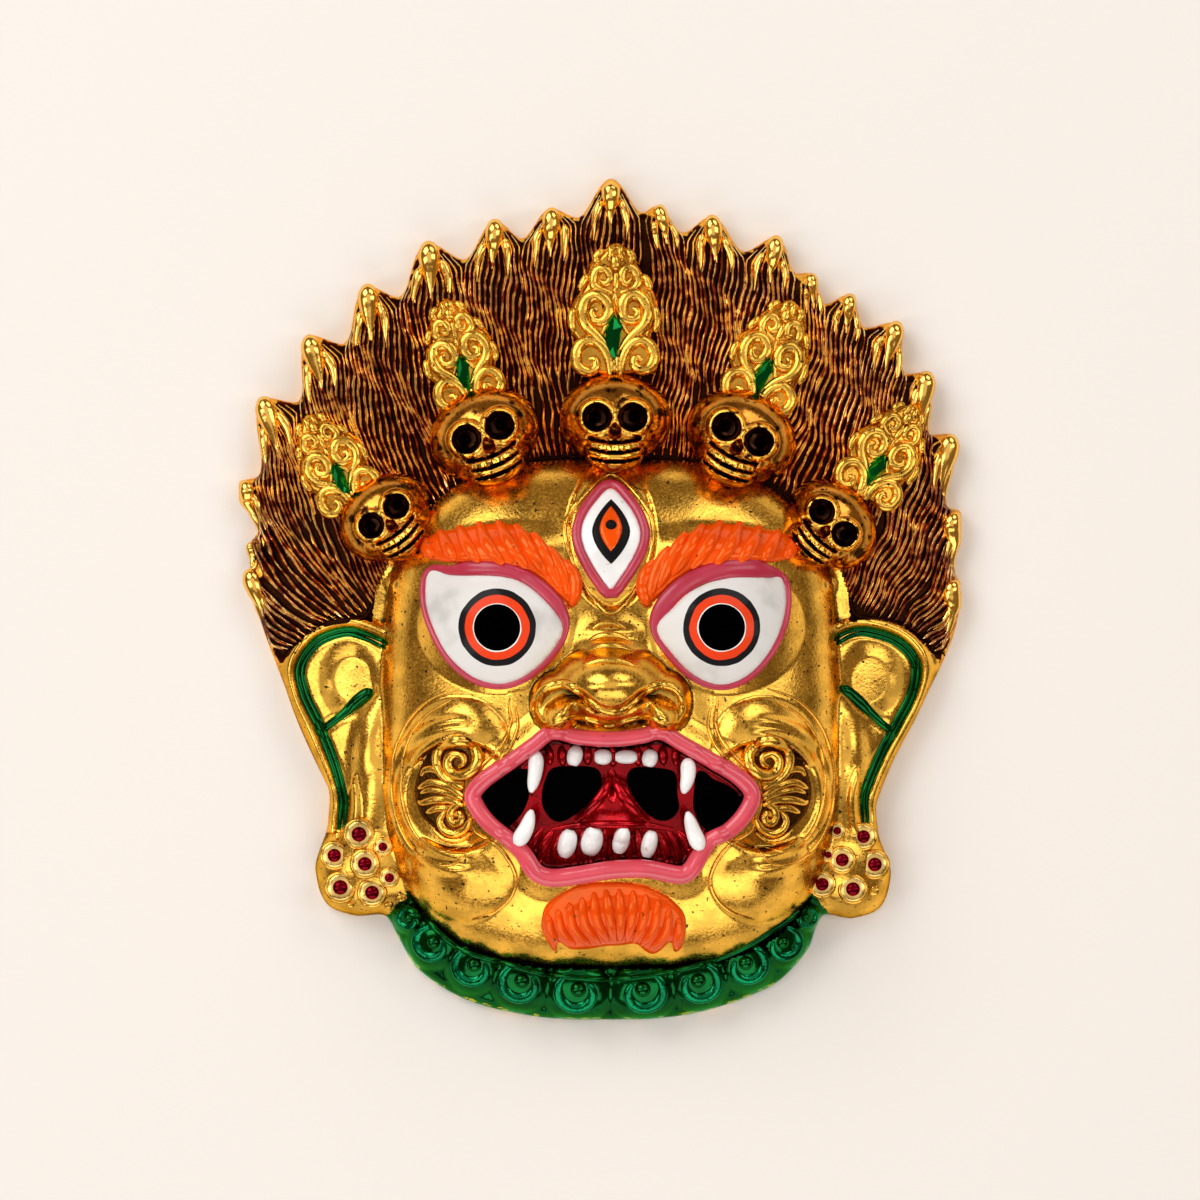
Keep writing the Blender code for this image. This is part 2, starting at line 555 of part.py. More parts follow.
def surface(loops, rows, heights, wanted):
    """Triangles that follow the height map along the rows, and closer where its form turns most."""
    points, edges = lines_kept(rows, loops)
    spots = [(a, b, 1 - a - b) for a in (0.1, 0.3, 0.5, 0.7) for b in (0.1, 0.3, 0.5, 0.7) if a + b < 0.95]
    closest = CLOSEST_POINTS / PART
    triangles = triangulated(points, loops, edges)
    while len(triangles) < wanted:
        corners = points[triangles]
        levels = heights.at(corners)
        places = np.einsum("sk,nkd->snd", np.array(spots), corners)
        misses = np.abs(heights.at(places) - np.einsum("sk,nk->sn", np.array(spots), levels))
        worst = misses.argmax(axis=0)
        rows = np.arange(len(triangles))
        sides = np.linalg.norm(corners - np.roll(corners, 1, axis=1), axis=2)
        score = misses[worst, rows] + 0.02 * sides.max(axis=1)
        places = places[worst, rows]
        taken = {tuple(cell) for cell in np.floor(points / closest).astype(int)}
        added = []
        room = min(int(0.25 * len(triangles)) + 20, (wanted - len(triangles)) // 2 + 1)
        for row in np.argsort(-score):
            cell = tuple(np.floor(places[row] / closest).astype(int))
            if cell in taken:
                continue
            taken.add(cell)
            added.append(places[row])
            if len(added) >= room:
                break
        if not added:
            break
        points = np.vstack((points, added))
        triangles = triangulated(points, loops, edges)
    return points, triangles


def ring(radius_at, step):
    """Points round a ring about the centre whose radius is given by the angle."""
    degrees = np.arange(0, 360 + step / 2, step) % 360
    angle = np.radians(degrees)
    radii = radius_at(degrees)
    return np.column_stack((radii * np.cos(angle), radii * np.sin(angle)))


def oval(middle, across, up, count):
    """Points round an oval, back to the first."""
    angle = np.radians((np.arange(count + 1) % count) * 360 / count)
    return np.column_stack((middle[0] + across * np.cos(angle), middle[1] + up * np.sin(angle)))


def placed(rows, middle, tilt, size):
    """Rows of points moved from the frame of one feature to the plan."""
    angle = np.radians(tilt)
    turn = np.array(((np.cos(angle), np.sin(angle)), (-np.sin(angle), np.cos(angle))))
    return [np.asarray(row, float).reshape(-1, 2) * size @ turn + middle for row in rows]


def along(path, step, aside=0.0):
    """Points about every step along a path, moved aside to its left by one or several widths."""
    path = np.asarray(path, float)
    length = np.concatenate(([0.0], np.cumsum(np.linalg.norm(np.diff(path, axis=0), axis=1))))
    share = np.linspace(0, 1, max(3, round(length[-1] / step) + 1))
    points = np.column_stack([np.interp(share * length[-1], length, path[:, i]) for i in (0, 1)])
    ahead = np.gradient(points, axis=0)
    ahead /= np.linalg.norm(ahead, axis=1)[:, None]
    widths = np.interp(share, np.linspace(0, 1, np.size(aside)), np.ravel(aside))
    return points + widths[:, None] * np.column_stack((-ahead[:, 1], ahead[:, 0]))


def beside_loop(loop, step, inward):
    """Points about every step along a closed loop, moved into it or, below 0, out of it."""
    u, v = loop.T
    way = np.sign(np.sum(u * np.roll(v, -1) - v * np.roll(u, -1)))
    row = along(np.vstack((loop, loop[:1])), step, inward * way)
    row[-1] = row[0]
    return row


def hair_rows():
    """The crest and the groove of each strand, where the crown does not cover them."""
    notches = notch_angles()
    lines = np.arange(0, len(notches) - 1 + 0.01, 0.5 / STRANDS_IN_LOCK)
    rows = []
    for degrees in np.interp(lines, np.arange(len(notches)), notches):
        inner, outer = face_edge(degrees) + 1.5, outline_radius(degrees) - 1.5
        radii = np.linspace(inner, outer, max(3, round((outer - inner) / HAIR_POINT_STEP) + 1))
        angle = np.radians(degrees - hair_wave(radii, degrees))
        row = np.column_stack((radii * np.cos(angle), radii * np.sin(angle)))
        open_run = []
        for point, free in zip(row, in_hair(*row.T) * ~in_crown(row)):
            if not free:
                rows.append(open_run)
                open_run = []
            else:
                open_run.append(point)
        rows.append(open_run)
    return rows


def in_crown(points):
    """Whether each point lies under a skull or a leaf."""
    u, v = np.asarray(points).T
    covered = np.zeros(len(u), bool)
    for middle, tilt, size in SKULLS:
        covered |= np.hypot(u - middle[0], v - middle[1]) < (SKULL_RADIUS + 1.0) * size
    for middle, tilt, size in LEAVES:
        x, y = turned(u, v, middle, tilt)
        level = y / size + LEAF_GEM_UP
        beside = np.abs(x) < leaf_half_width(level) * size + 1.0
        covered |= beside & (level > -1) & (level < LEAF_LENGTH + 1)
    return covered


def crown_rows():
    """The skulls, and the leaves over them."""
    rows = []
    for middle, tilt, size in SKULLS:
        local = [oval((0, 0), SKULL_RADIUS * share, SKULL_RADIUS * share, count)
                 for share, count in ((1.02, 20), (0.95, 18), (0.7, 12), (0.35, 6))]
        for side in (-4.3, 4.2):
            local += [oval((side, 0.3), radius, radius, 8) for radius in (3.7, 2.3)] + [[(side, 0.3)]]
        local += [[(x, y) for x in (-8.4, -6.0, 0.0, 6.0, 8.4)] for y in (-12.3, -11.3, -8.8, -7.9, -7.0)]
        local.append([(-1.4, -4.6), (0.0, -2.2), (1.4, -4.6), (-1.4, -4.6)])
        rows += placed(local, middle, tilt, size)
    for middle, tilt, size in LEAVES:
        levels = np.linspace(-0.5, LEAF_LENGTH * 0.995, 9)
        local = []
        for side in (-1.0, 1.0):
            for share in (1.03, 0.9):
                edge = side * share * leaf_half_width(levels)
                local.append(np.column_stack((edge, levels - LEAF_GEM_UP)))
            for across, level, radius in LEAF_SCROLLS:
                curl = (side * across, level - LEAF_GEM_UP)
                local += [oval(curl, 0.62 * radius, 0.62 * radius, 7), [curl]]
        local += [[(0, 5.7), (1.8, 0.0), (0, -5.7), (-1.8, 0.0), (0, 5.7)], [(0, 4.4), (0, 0), (0, -4.4)]]
        rows += placed(local, middle, tilt, size)
    return rows


def face_rows():
    """The features of the right half of the face, mirrored, and those on its middle."""
    half = [beside_loop(EYE_LOOP, 3.0, aside) for aside in (-3.2, -1.3, 0.6)]
    half.append(oval(EYE, 9.0, 9.0, 16))
    widths = np.array(BROW_HALF_WIDTHS)
    length = np.sum(np.hypot(*np.diff(np.array(BROW), axis=0).T))
    half += [along(BROW, length / (2 * BROW_RIBS), widths * share) for share in (0.0, 0.96, -0.96)]
    for fang in (UPPER_FANG, LOWER_FANG):
        half += [along(fang, 3.0, aside) for aside in (0.0, -2.0, 2.0)]
    half += [oval((11.8, -14.0), 9.0, 6.6, 14), oval((11.8, -14.0), 5.9, 4.3, 9)]
    for turn in np.radians(np.arange(FAN_FROM, FAN_TO + 1, FAN_BLADE_WIDTH / 2)):
        radii = np.array((4.5, 0.76 * FAN_REACH, FAN_REACH))
        half.append(np.column_stack((FAN[0] + radii * np.cos(turn), FAN[1] + radii * np.sin(turn))))
    for across, level, radius in FAN_CURLS:
        half.append(oval((across, level), radius, radius, 9))
        half += [oval((across, level), 0.5 * radius, 0.5 * radius, 7), [(across, level)]]
    whole = [beside_loop(LIP_LOOP, 4.0, inward) for inward in (-0.2, 1.7, 3.0, 4.6)]
    for share in (0.86, 1.0, 1.14):
        ups = np.linspace(-1, 1, 13)
        reach = np.where(ups > 0, THIRD_EYE_UP, THIRD_EYE_DOWN)
        wide = THIRD_EYE_HALF_WIDTH * np.clip(share - np.abs(ups * share) ** 1.6, 0, None)
        wide[[0, -1]] = 0.0
        for side in (-1.0, 1.0):
            whole.append(np.column_stack((side * wide, THIRD_EYE_MIDDLE + ups * share * reach)))
    for level, row in ((UPPER_TEETH_LEVEL, UPPER_TEETH), (LOWER_TEETH_LEVEL, LOWER_TEETH)):
        for place in row:
            whole += [oval((place, level), 2.3, 3.3, 8), oval((place, level), 1.1, 1.6, 4)]
    whole += [oval((0, -10.6), 12.0 * share, 9.0 * share, int(20 * share) + 2) for share in (1, 0.7, 0.35)]
    whole += [[(side, level) for side in (-6.0, -2.5, 2.5, 6.0)] for level in np.arange(-6.6, 7.0, 1.7)]
    for share in (1.0, 0.94):
        whole.append(oval((BEARD[0], BEARD[1] - 1.0), BEARD_HALF_WIDTH * share, 10.0 * share, 30))
    for turn in np.pi * np.arange(0.5, BEARD_RIBS, 0.5) / BEARD_RIBS:
        radii = np.arange(9.5, 2 * BEARD_FOCUS, 4.5)
        row = np.column_stack((radii * np.cos(turn), radii * np.sin(turn) - BEARD_FOCUS)) + BEARD
        x, y = ((row - BEARD) / (BEARD_HALF_WIDTH, 10.0)).T
        whole.append(row[np.hypot(x, y + 0.1) < 0.9])
    whole += [ring(lambda degrees: face_edge(degrees) - inset, 7.5) for inset in (-0.6, 1.2, 6.0)]
    return [row for side in (1, -1) for row in placed(half, (0, 0), 0, (side, 1))] + whole


def edge_rows():
    """The ears, the bosses of the earrings and the collar."""
    half = [along(EAR_LINE, 4.0, aside) for aside in (-3.0, -1.7, 0.0, 1.7)]
    half += [along(EAR_BRANCH, 3.5, aside) for aside in (-1.7, 0.0, 1.7)]
    half += [oval((62.0, -9.0), 4.2, 4.8, 8)]
    across = np.arange(55.0, 76.0, 3.0)
    half.append(np.column_stack((across, EAR_TOP + 1.0 - 0.055 * (across - 63.0) ** 2)))
    whole = []
    for across, up, radius in LEFT_BOSSES + RIGHT_BOSSES:
        inner = 0.66 * radius
        middle = across, up
        whole += [oval(middle, radius, radius, 9), oval(middle, inner, inner, 7), [middle]]
    arc = np.radians(np.arange(COLLAR_FROM, COLLAR_TO, 3.2))
    for radius in (COLLAR_RADIUS - 6.6, COLLAR_RADIUS - 4.5, COLLAR_RADIUS + 4.4):
        whole.append(np.column_stack((radius * np.cos(arc), radius * np.sin(arc))))
    for at in COLLAR_SCROLLS:
        middle = COLLAR_RADIUS * np.cos(np.radians(at)), COLLAR_RADIUS * np.sin(np.radians(at))
        outer, inner = 0.9 * COLLAR_SCROLL_RADIUS, 0.5 * COLLAR_SCROLL_RADIUS
        whole += [oval(middle, outer, outer, 8), oval(middle, inner, inner, 8), [middle]]
    return [row for side in (1, -1) for row in placed(half, (0, 0), 0, (side, 1))] + whole


def crosses_any(start, end, starts, ends):
    """Whether the segment from start to end crosses one of the others or runs through an end of it."""
    def side(a, b, c):
        ahead, over = b - a, c - a
        return ahead[..., 0] * over[..., 1] - ahead[..., 1] * over[..., 0]

    apart = side(start, end, starts) * side(start, end, ends) < 1e-9
    return bool(np.any(apart & (side(starts, ends, start) * side(starts, ends, end) < 1e-9)))


def lines_kept(rows, loops):
    """The loops and then the points of the rows, thinned, with the edges that join them and never cross."""
    edges = []
    first = 0
    for loop in loops:
        edges += [(first + i, first + (i + 1) % len(loop)) for i in range(len(loop))]
        first += len(loop)
    points = np.zeros((first + sum(len(row) for row in rows), 2))
    points[:first] = np.vstack(loops)
    least = CLOSEST_POINTS / PART
    total = first
    numbered = []
    for row in rows:
        numbers = []
        if len(row):
            row = np.asarray(row, float)
            gap = inside_distance(*row.T, loops[0])
            for loop in loops[1:]:
                gap = np.minimum(gap, -inside_distance(*row.T, loop))
            for point, free in zip(row, gap > 0.7 * least):
                away = np.hypot(*(points[:total] - point).T)
                nearest = int(away.argmin())
                if free and away[nearest] > least:
                    points[total] = point
                    numbers.append(total)
                    total += 1
                else:
                    numbers.append(nearest if away[nearest] < 1e-6 else -1)
        numbered.append(numbers)
    points = points[:total]
    starts, ends = (points[[edge[i] for edge in edges]] for i in (0, 1))
    for numbers in numbered:
        for a, b in zip(numbers[:-1], numbers[1:]):
            if a < 0 or b < 0 or a == b:
                continue
            near = np.array([a not in edge and b not in edge for edge in edges])
            if not crosses_any(points[a], points[b], starts[near], ends[near]):
                edges.append((a, b))
                starts = np.vstack((starts, points[a]))
                ends = np.vstack((ends, points[b]))
    return points, edges


def mask_mesh():
    """The closed surface of the mask: front, back, and walls round the outline and the holes."""
    loops = [outline_loop()] + hole_loops()
    front_map = HeightMap(front)
    back_map = HeightMap(back)
    back_map.lowered_under(front_map, WALL / PART)
    rows = crown_rows() + face_rows() + edge_rows() + hair_rows()
    points, triangles = surface(loops, rows, front_map, FRONT_TRIANGLES)
    rings = [ring(lambda degrees: rim_radius(degrees) - inset, RING_STEP) for inset in (0.0, HOLLOW_BEVEL)]
    insets = (WALL / PART - 0.8, WALL / PART + 0.8, WALL / PART + 6.0)
    rings += [ring(lambda degrees: face_edge(degrees) - inset, 2 * RING_STEP) for inset in insets]
    rear, rear_triangles = surface(loops, rings, back_map, BACK_TRIANGLES)
    built = bmesh.new()
    middle = PART * (loops[0].min(axis=0) + loops[0].max(axis=0)) / 2

    def add(plan, heights):
        spots = np.column_stack((plan * PART - middle, heights * PART))
        return [built.verts.new(spot) for spot in spots]

    edge_count = sum(len(loop) for loop in loops)
    rear_heights = back_map.at(rear)
    rear_heights[: len(loops[0])] = 0.0
    top = add(points, front_map.at(points))
    under = add(rear, rear_heights)
    for a, b, c in triangles.tolist():
        built.faces.new((top[a], top[b], top[c]))
    for a, b, c in rear_triangles.tolist():
        built.faces.new((under[c], under[b], under[a]))
    first = 0
    for loop in loops:
        count = len(loop)
        for i in range(count):
            a, b = first + i, first + (i + 1) % count
            built.faces.new((top[a], top[b], under[b]))
            built.faces.new((top[a], under[b], under[a]))
        first += count
    bmesh.ops.recalc_face_normals(built, faces=built.faces)
    return built


def make_material():
    """Gilt metal."""
    material = bpy.data.materials.new("gilt_metal")
    material.use_nodes = True
    shader = material.node_tree.nodes["Principled BSDF"]
    shader.inputs["Base Color"].default_value = GILT_COLOUR
    shader.inputs["Metallic"].default_value = 1.0
    shader.inputs["Roughness"].default_value = GILT_ROUGHNESS
    return material


def main():
    for old in list(bpy.data.objects):
        bpy.data.objects.remove(old)
    group = bpy.data.collections.new("guardian_mask")
    bpy.context.scene.collection.children.link(group)
    built = mask_mesh()
    mesh = bpy.data.meshes.new("mask")
    built.to_mesh(mesh)
    built.free()
    mesh.materials.append(make_material())
    mask = bpy.data.objects.new("mask", mesh)
    group.objects.link(mask)


main()
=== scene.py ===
"""The gilt guardian mask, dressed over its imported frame.

Places on the mask are written as they read off the photograph's frame of 1200 by 1200, across and then
down, and Plan turns them into millimetres about the middle between the eyes. One casting carries all the
broad relief. The hair, lips, lids, brows, scrolls and other long forms are swept along paths by Geometry
Nodes, and skulls, enamels and stones are small reliefs of their own. All of it rides on the one body.
"""

from __future__ import annotations

import logging
import math
from dataclasses import dataclass
from enum import Enum
from typing import Callable, Iterable, Sequence

import bmesh
import bpy
import numpy as np
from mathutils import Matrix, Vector, kdtree
from mathutils.geometry import delaunay_2d_cdt

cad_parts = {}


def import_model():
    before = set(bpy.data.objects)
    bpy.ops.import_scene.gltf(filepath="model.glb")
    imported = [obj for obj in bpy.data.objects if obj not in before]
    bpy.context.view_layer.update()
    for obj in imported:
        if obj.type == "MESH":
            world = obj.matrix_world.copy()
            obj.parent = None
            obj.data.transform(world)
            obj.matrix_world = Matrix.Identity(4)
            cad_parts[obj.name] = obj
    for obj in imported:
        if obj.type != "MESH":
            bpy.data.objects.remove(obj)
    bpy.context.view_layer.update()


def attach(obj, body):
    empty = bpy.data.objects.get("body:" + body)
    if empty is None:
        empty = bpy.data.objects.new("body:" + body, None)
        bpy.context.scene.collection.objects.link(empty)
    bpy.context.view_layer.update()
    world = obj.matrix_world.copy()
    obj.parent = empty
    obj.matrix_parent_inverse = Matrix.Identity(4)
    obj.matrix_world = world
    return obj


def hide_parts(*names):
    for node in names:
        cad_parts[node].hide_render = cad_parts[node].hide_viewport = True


LOG = logging.getLogger("mask")
Array = np.ndarray
Height = Callable[[Array, Array], Array]

PX = 0.237
MIDDLE_PX = (611.0, 640.0)
BODY = "root"
NODE = "mask"


def mm(points: Iterable[Sequence[float]]) -> Array:
    """Turn places in the photograph's frame into plan millimetres.

    Args:
        points: Pairs of across and down.

    Returns:
        An array of pairs of right and up.
    """
    places = np.asarray(list(points), float)
    return np.column_stack(((places[:, 0] - MIDDLE_PX[0]) * PX, (MIDDLE_PX[1] - places[:, 1]) * PX))


# Outline of the mask about the middle: degrees and millimetres, tips of hair beside their notches
OUTLINE = (
    (9.4, 83.9), (11.2, 83.2), (20.0, 88.5), (21.7, 85.9), (31.0, 94.5), (32.8, 90.2), (40.0, 98.4),
    (42.2, 94.4), (47.8, 101.4), (51.0, 95.7), (55.3, 99.7), (57.5, 94.6), (61.5, 99.1), (63.2, 97.6),
    (67.5, 103.5), (71.2, 97.5), (76.5, 103.5), (80.0, 98.3), (84.0, 103.7), (85.8, 101.8), (90.0, 109.6),
    (94.5, 100.7), (98.0, 103.5), (102.5, 97.7), (105.5, 103.4), (111.0, 96.9), (115.0, 104.0),
    (121.7, 95.8), (124.8, 102.3), (132.0, 94.8), (135.0, 102.0), (142.7, 93.5), (145.5, 100.9),
    (155.0, 92.4), (157.2, 95.9), (163.3, 87.6), (164.8, 88.7), (168.0, 86.5), (170.2, 87.9),
    (176.0, 84.0), (190.0, 77.9), (207.0, 75.8), (213.0, 80.2), (218.0, 89.2), (223.0, 92.3),
    (227.0, 89.7), (231.0, 84.8), (234.0, 86.6), (240.0, 90.9), (248.0, 92.3), (258.0, 91.5),
    (270.0, 90.4), (284.0, 91.1), (294.0, 90.9), (302.0, 87.6), (307.5, 82.8), (311.0, 87.8),
    (315.0, 90.3), (320.0, 86.9), (324.0, 78.6), (329.0, 73.9), (336.0, 73.0), (348.0, 75.5),
)
TIPS = mm((
    (248, 569), (249, 541), (237, 481), (262, 397), (308, 335), (367, 284), (428, 241), (495, 218.5),
    (552, 207), (611, 176), (658, 203), (712, 214.5), (777, 235), (811.5, 271), (851, 292), (898, 321),
    (928, 371), (952, 434), (963, 513), (960.5, 581),
))
NOTCHES = mm((
    (264, 628), (252, 564), (248, 535), (255, 478), (296, 401), (342, 343), (397, 296), (463.5, 257),
    (522, 236), (579, 214), (642, 209), (685, 230), (745, 250), (799, 271), (827.5, 302), (868.5, 326),
    (910, 373), (935, 436.5), (952, 508), (958, 574), (947, 640),
))
ROOTS = mm((
    (284, 652), (310, 634), (324, 627), (352, 619), (371, 606), (396, 545), (452, 490), (496, 464),
    (546, 456), (578, 455), (648, 455), (680, 457), (704, 460), (742, 468), (782, 488), (832, 545),
    (851, 600), (872, 617), (898, 622), (918, 634), (936, 652),
))


def ramp(value: Array, low: float, high: float) -> Array:
    """0 below low, 1 above high, and a smooth step between them."""
    t = np.clip((value - low) / (high - low), 0.0, 1.0)
    return t * t * (3.0 - 2.0 * t)


def dome(share: Array) -> Array:
    """The height of a unit half ball at that share of its radius."""
    return np.sqrt(np.clip(1.0 - share * share, 0.0, 1.0))


def bulb(share: Array) -> Array:
    """A round swelling with a firm foot."""
    return np.clip(1.0 - share * share, 0.0, 1.0) ** 0.8


def swell(share: Array) -> Array:
    """A soft swelling that runs out flat at share 1."""
    return np.clip(1.0 - share * share, 0.0, 1.0) ** 2


def smooth_max(a: Array, b: Array, blend: float) -> Array:
    """The higher of two heights, with a fillet of about that size where both stand up and meet."""
    h = np.clip(blend - np.abs(a - b), 0.0, None) / blend
    return np.maximum(a, b) + h * h * blend / 4 * ramp(np.minimum(a, b), 0.0, blend)


def oval_share(u: Array, v: Array, middle: Sequence[float], across: float, up: float, tilt: float = 0.0) -> Array:
    """How far out of an oval each point is: 0 in its middle and 1 on its edge."""
    angle = math.radians(tilt)
    x, y = u - middle[0], v - middle[1]
    return np.hypot(
        (x * math.cos(angle) + y * math.sin(angle)) / across, (y * math.cos(angle) - x * math.sin(angle)) / up
    )


def curve(points: Array, step: float, closed: bool = False) -> Array:
    """A smooth curve through the points, evenly stepped.

    Args:
        points: Control points, in two or three coordinates.
        step: Distance between the points of the result.
        closed: Whether the curve runs back to its start.

    Returns:
        The stepped points; a closed curve doesn't repeat its first.
    """
    points = np.asarray(points, float)
    if closed:
        padded = np.vstack((points[-1:], points, points[:2]))
    else:
        padded = np.vstack((2 * points[:1] - points[1:2], points, 2 * points[-1:] - points[-2:-1]))
    t = np.linspace(0, 1, 12, endpoint=False)[None, :, None]
    a, b, c, d = (padded[i: len(padded) - 3 + i, None] for i in range(4))
    fine = b + 0.5 * t * (c - a + t * (2 * a - 5 * b + 4 * c - d + t * (3 * (b - c) + d - a)))
    fine = fine.reshape(-1, points.shape[1])
    fine = np.vstack((fine, points[:1] if closed else points[-1:]))
    run = np.concatenate(([0.0], np.cumsum(np.linalg.norm(np.diff(fine, axis=0), axis=1))))
    count = max(3, int(round(run[-1] / step)) + 1)
    at = np.linspace(0, run[-1], count)
    stepped = np.column_stack([np.interp(at, run, fine[:, i]) for i in range(fine.shape[1])])
    return stepped[:-1] if closed else stepped


def path_distance(u: Array, v: Array, path: Array) -> Array:
    """Distance from each point to an open path."""
    nearest = np.full(np.shape(u), np.inf)
    for start, end in zip(path[:-1], path[1:]):
        run = end - start
        t = np.clip(((u - start[0]) * run[0] + (v - start[1]) * run[1]) / max(run @ run, 1e-9), 0.0, 1.0)
        nearest = np.minimum(nearest, np.hypot(u - start[0] - t * run[0], v - start[1] - t * run[1]))
    return nearest


def in_loop(points: Array, loop: Array) -> Array:
    """Whether each point is inside the closed loop."""
    u, v = points[..., 0], points[..., 1]
    inside = np.zeros(u.shape, bool)
    for (u0, v0), (u1, v1) in zip(loop, np.roll(loop, -1, axis=0)):
        if v0 != v1:
            inside ^= ((v0 > v) != (v1 > v)) & (u < u0 + (v - v0) * (u1 - u0) / (v1 - v0))
    return inside


def depth_in(u: Array, v: Array, loop: Array) -> Array:
    """Distance to a closed loop, above 0 inside it and below 0 outside."""
    gap = path_distance(u, v, np.vstack((loop, loop[:1])))
    return np.where(in_loop(np.stack((u, v), -1), loop), gap, -gap)


def mirrored(half: Array) -> Array:
    """The same points on the other side of the middle line."""
    return half * (-1, 1)


class Plan:
    """The mask seen from the front: its outline and the edge of its face."""

    LOOP_STEP = 0.45
    SIDES = (-88.5, 83.28)

    @staticmethod
    def radius(degrees: Array) -> Array:
        """Radius of the outline, which keeps each listed tip and notch as a turning point."""
        at, size = np.array(OUTLINE).T
        at = np.concatenate((at[-2:] - 360, at, at[:3] + 360))
        size = np.concatenate((size[-2:], size, size[:3]))
        slope = np.diff(size) / np.diff(at)
        before, after = slope[:-1], slope[1:]
        same = before * after > 0
        tangent = np.where(same, 2 * before * after / np.where(same, before + after, 1.0), 0.0)
        tangent = np.concatenate(([0.0], tangent, [0.0]))
        degrees = (np.asarray(degrees) - OUTLINE[0][0]) % 360 + OUTLINE[0][0]
        i = np.clip(np.searchsorted(at, degrees, side="right") - 1, 0, len(at) - 2)
        step = at[i + 1] - at[i]
        t = (degrees - at[i]) / step
        smooth = (
            size[i] * (1 + 2 * t) * (1 - t) ** 2 + size[i + 1] * t * t * (3 - 2 * t)
            + step * t * (1 - t) * (tangent[i] * (1 - t) - tangent[i + 1] * t)
        )
        across = np.cos(np.radians(degrees))
        widest = np.where(across > 0, Plan.SIDES[1], Plan.SIDES[0]) / np.where(np.abs(across) < 0.2, 1e-6, across)
        return np.where(np.abs(across) < 0.2, smooth, np.minimum(smooth, widest))

    @classmethod
    def outline(cls) -> Array:
        """The outline as a closed loop of close points."""
        angles = np.radians(np.arange(0, 360, 0.1))
        radii = cls.radius(np.degrees(angles))
        fine = np.column_stack((radii * np.cos(angles), radii * np.sin(angles)))
        run = np.concatenate(([0.0], np.cumsum(np.linalg.norm(np.diff(fine, axis=0), axis=1))))
        at = np.arange(0, run[-1], cls.LOOP_STEP)
        return np.column_stack([np.interp(at, run, fine[:, i]) for i in (0, 1)])

    @staticmethod
    def face_share(u: Array, v: Array, inset: float = 0.0) -> Array:
        """0 in the middle of the face and 1 on its edge, a rounded oblong."""
        across, up = np.abs(u) / (54.3 - inset), np.abs(v + 17.2) / (60.4 - inset)
        return (across**3.2 + up**3.2) ** (1 / 3.2)

    @classmethod
    def face_edge(cls, degrees: Array) -> Array:
        """Distance from the middle to the edge of the face."""
        angle = np.radians(degrees)
        low, high = np.zeros(np.shape(angle)), np.full(np.shape(angle), 200.0)
        for _ in range(20):
            half = (low + high) / 2
            out = cls.face_share(half * np.cos(angle), half * np.sin(angle)) > 1
            low, high = np.where(out, low, half), np.where(out, half, high)
        return low


EYE_HOLES = (((498.0, 627.5), 23.2), ((720.6, 627.5), 23.2))
LEFT_WHITE = mm(((431, 570), (452, 576), (491, 576), (516, 581), (540, 597), (562.6, 625), (556, 645), (540, 664),
                 (520, 678), (499, 683), (474, 676), (450, 655), (434, 625), (427, 598)))
RIGHT_WHITE = mm(((656, 629), (672, 610), (692, 592), (724, 579), (750, 578), (770, 579), (780, 577), (784, 601),
                  (778, 630), (764, 656), (744, 676), (719, 684), (694, 675), (674, 656)))
THIRD_WHITE = mm(((610.5, 490), (624, 502), (635, 518), (640, 534), (637, 549), (628, 566), (618, 581),
                  (610.5, 590), (603, 581), (593, 566), (584.5, 549), (581.6, 534), (586, 518), (597, 502)))
LIP_LINE = mm(((553, 731), (580, 736), (611, 738), (640, 735), (660, 731), (684, 744), (712, 760), (738, 776),
               (751, 793), (744, 812), (728, 829), (710, 838), (700, 852), (690, 868), (678, 873), (645, 867),
               (611, 868), (580, 873), (553, 876), (536, 870), (524, 852), (510, 838), (490, 822), (478, 806),
               (474, 793), (486, 778), (512, 760), (534, 744)))
MOUTH_HOLES = (
    ((484.5, 798), (492, 782), (509, 772), (529, 769), (530, 793), (522, 813), (507, 826), (492, 819)),
    ((553, 767), (574, 765), (592, 766), (600.5, 772), (601.5, 787), (592, 800), (579, 811), (564, 820),
     (553, 819), (544, 808), (542, 795), (545, 780)),
    ((626.5, 776), (633, 767), (648, 766), (670, 769), (676, 776), (677, 793), (678.5, 808), (670, 818),
     (657, 819), (642, 808), (631, 791)),
    ((696, 772), (703.5, 770.5), (713, 778), (731, 787), (740, 800), (737, 815), (726, 826), (711, 830),
     (700, 824), (693, 808), (693, 791)),
)
EAR_LINE_LEFT = mm(((386, 646), (366, 637), (345, 632.5), (317, 643), (300.5, 667), (304, 693), (317, 721),
                    (328, 747), (337, 773.5), (343, 802), (341, 830)))
EAR_BRANCH_LEFT = mm(((323, 730), (333, 722), (345, 713), (358, 700), (372, 690)))
EAR_LINE_RIGHT = mm(((836, 642), (850, 634), (868, 632.5), (899, 643), (916, 665), (912, 695), (899, 721),
                     (888, 741), (875, 767), (865, 795), (866, 824)))
EAR_BRANCH_RIGHT = mm(((892, 732), (882, 724), (873, 715), (855, 698), (841, 687)))
COLLAR_BOSSES = ((432, 945, 25, 22), (473, 968, 26, 24), (521, 984, 29, 25), (578, 993, 33, 26), (643, 993, 33, 26),
                 (699, 984, 29, 25), (747, 966, 26, 24), (784, 945, 22, 21), (408, 920, 15, 13), (807, 919, 14, 12))


def collar_place(boss: Sequence[float]) -> tuple[Array, float]:
    """The middle of a boss of the collar on the plan, and how far it leans, in degrees."""
    place = mm([boss[:2]])[0]
    return place, math.degrees(math.atan2(place[1], place[0])) + 90


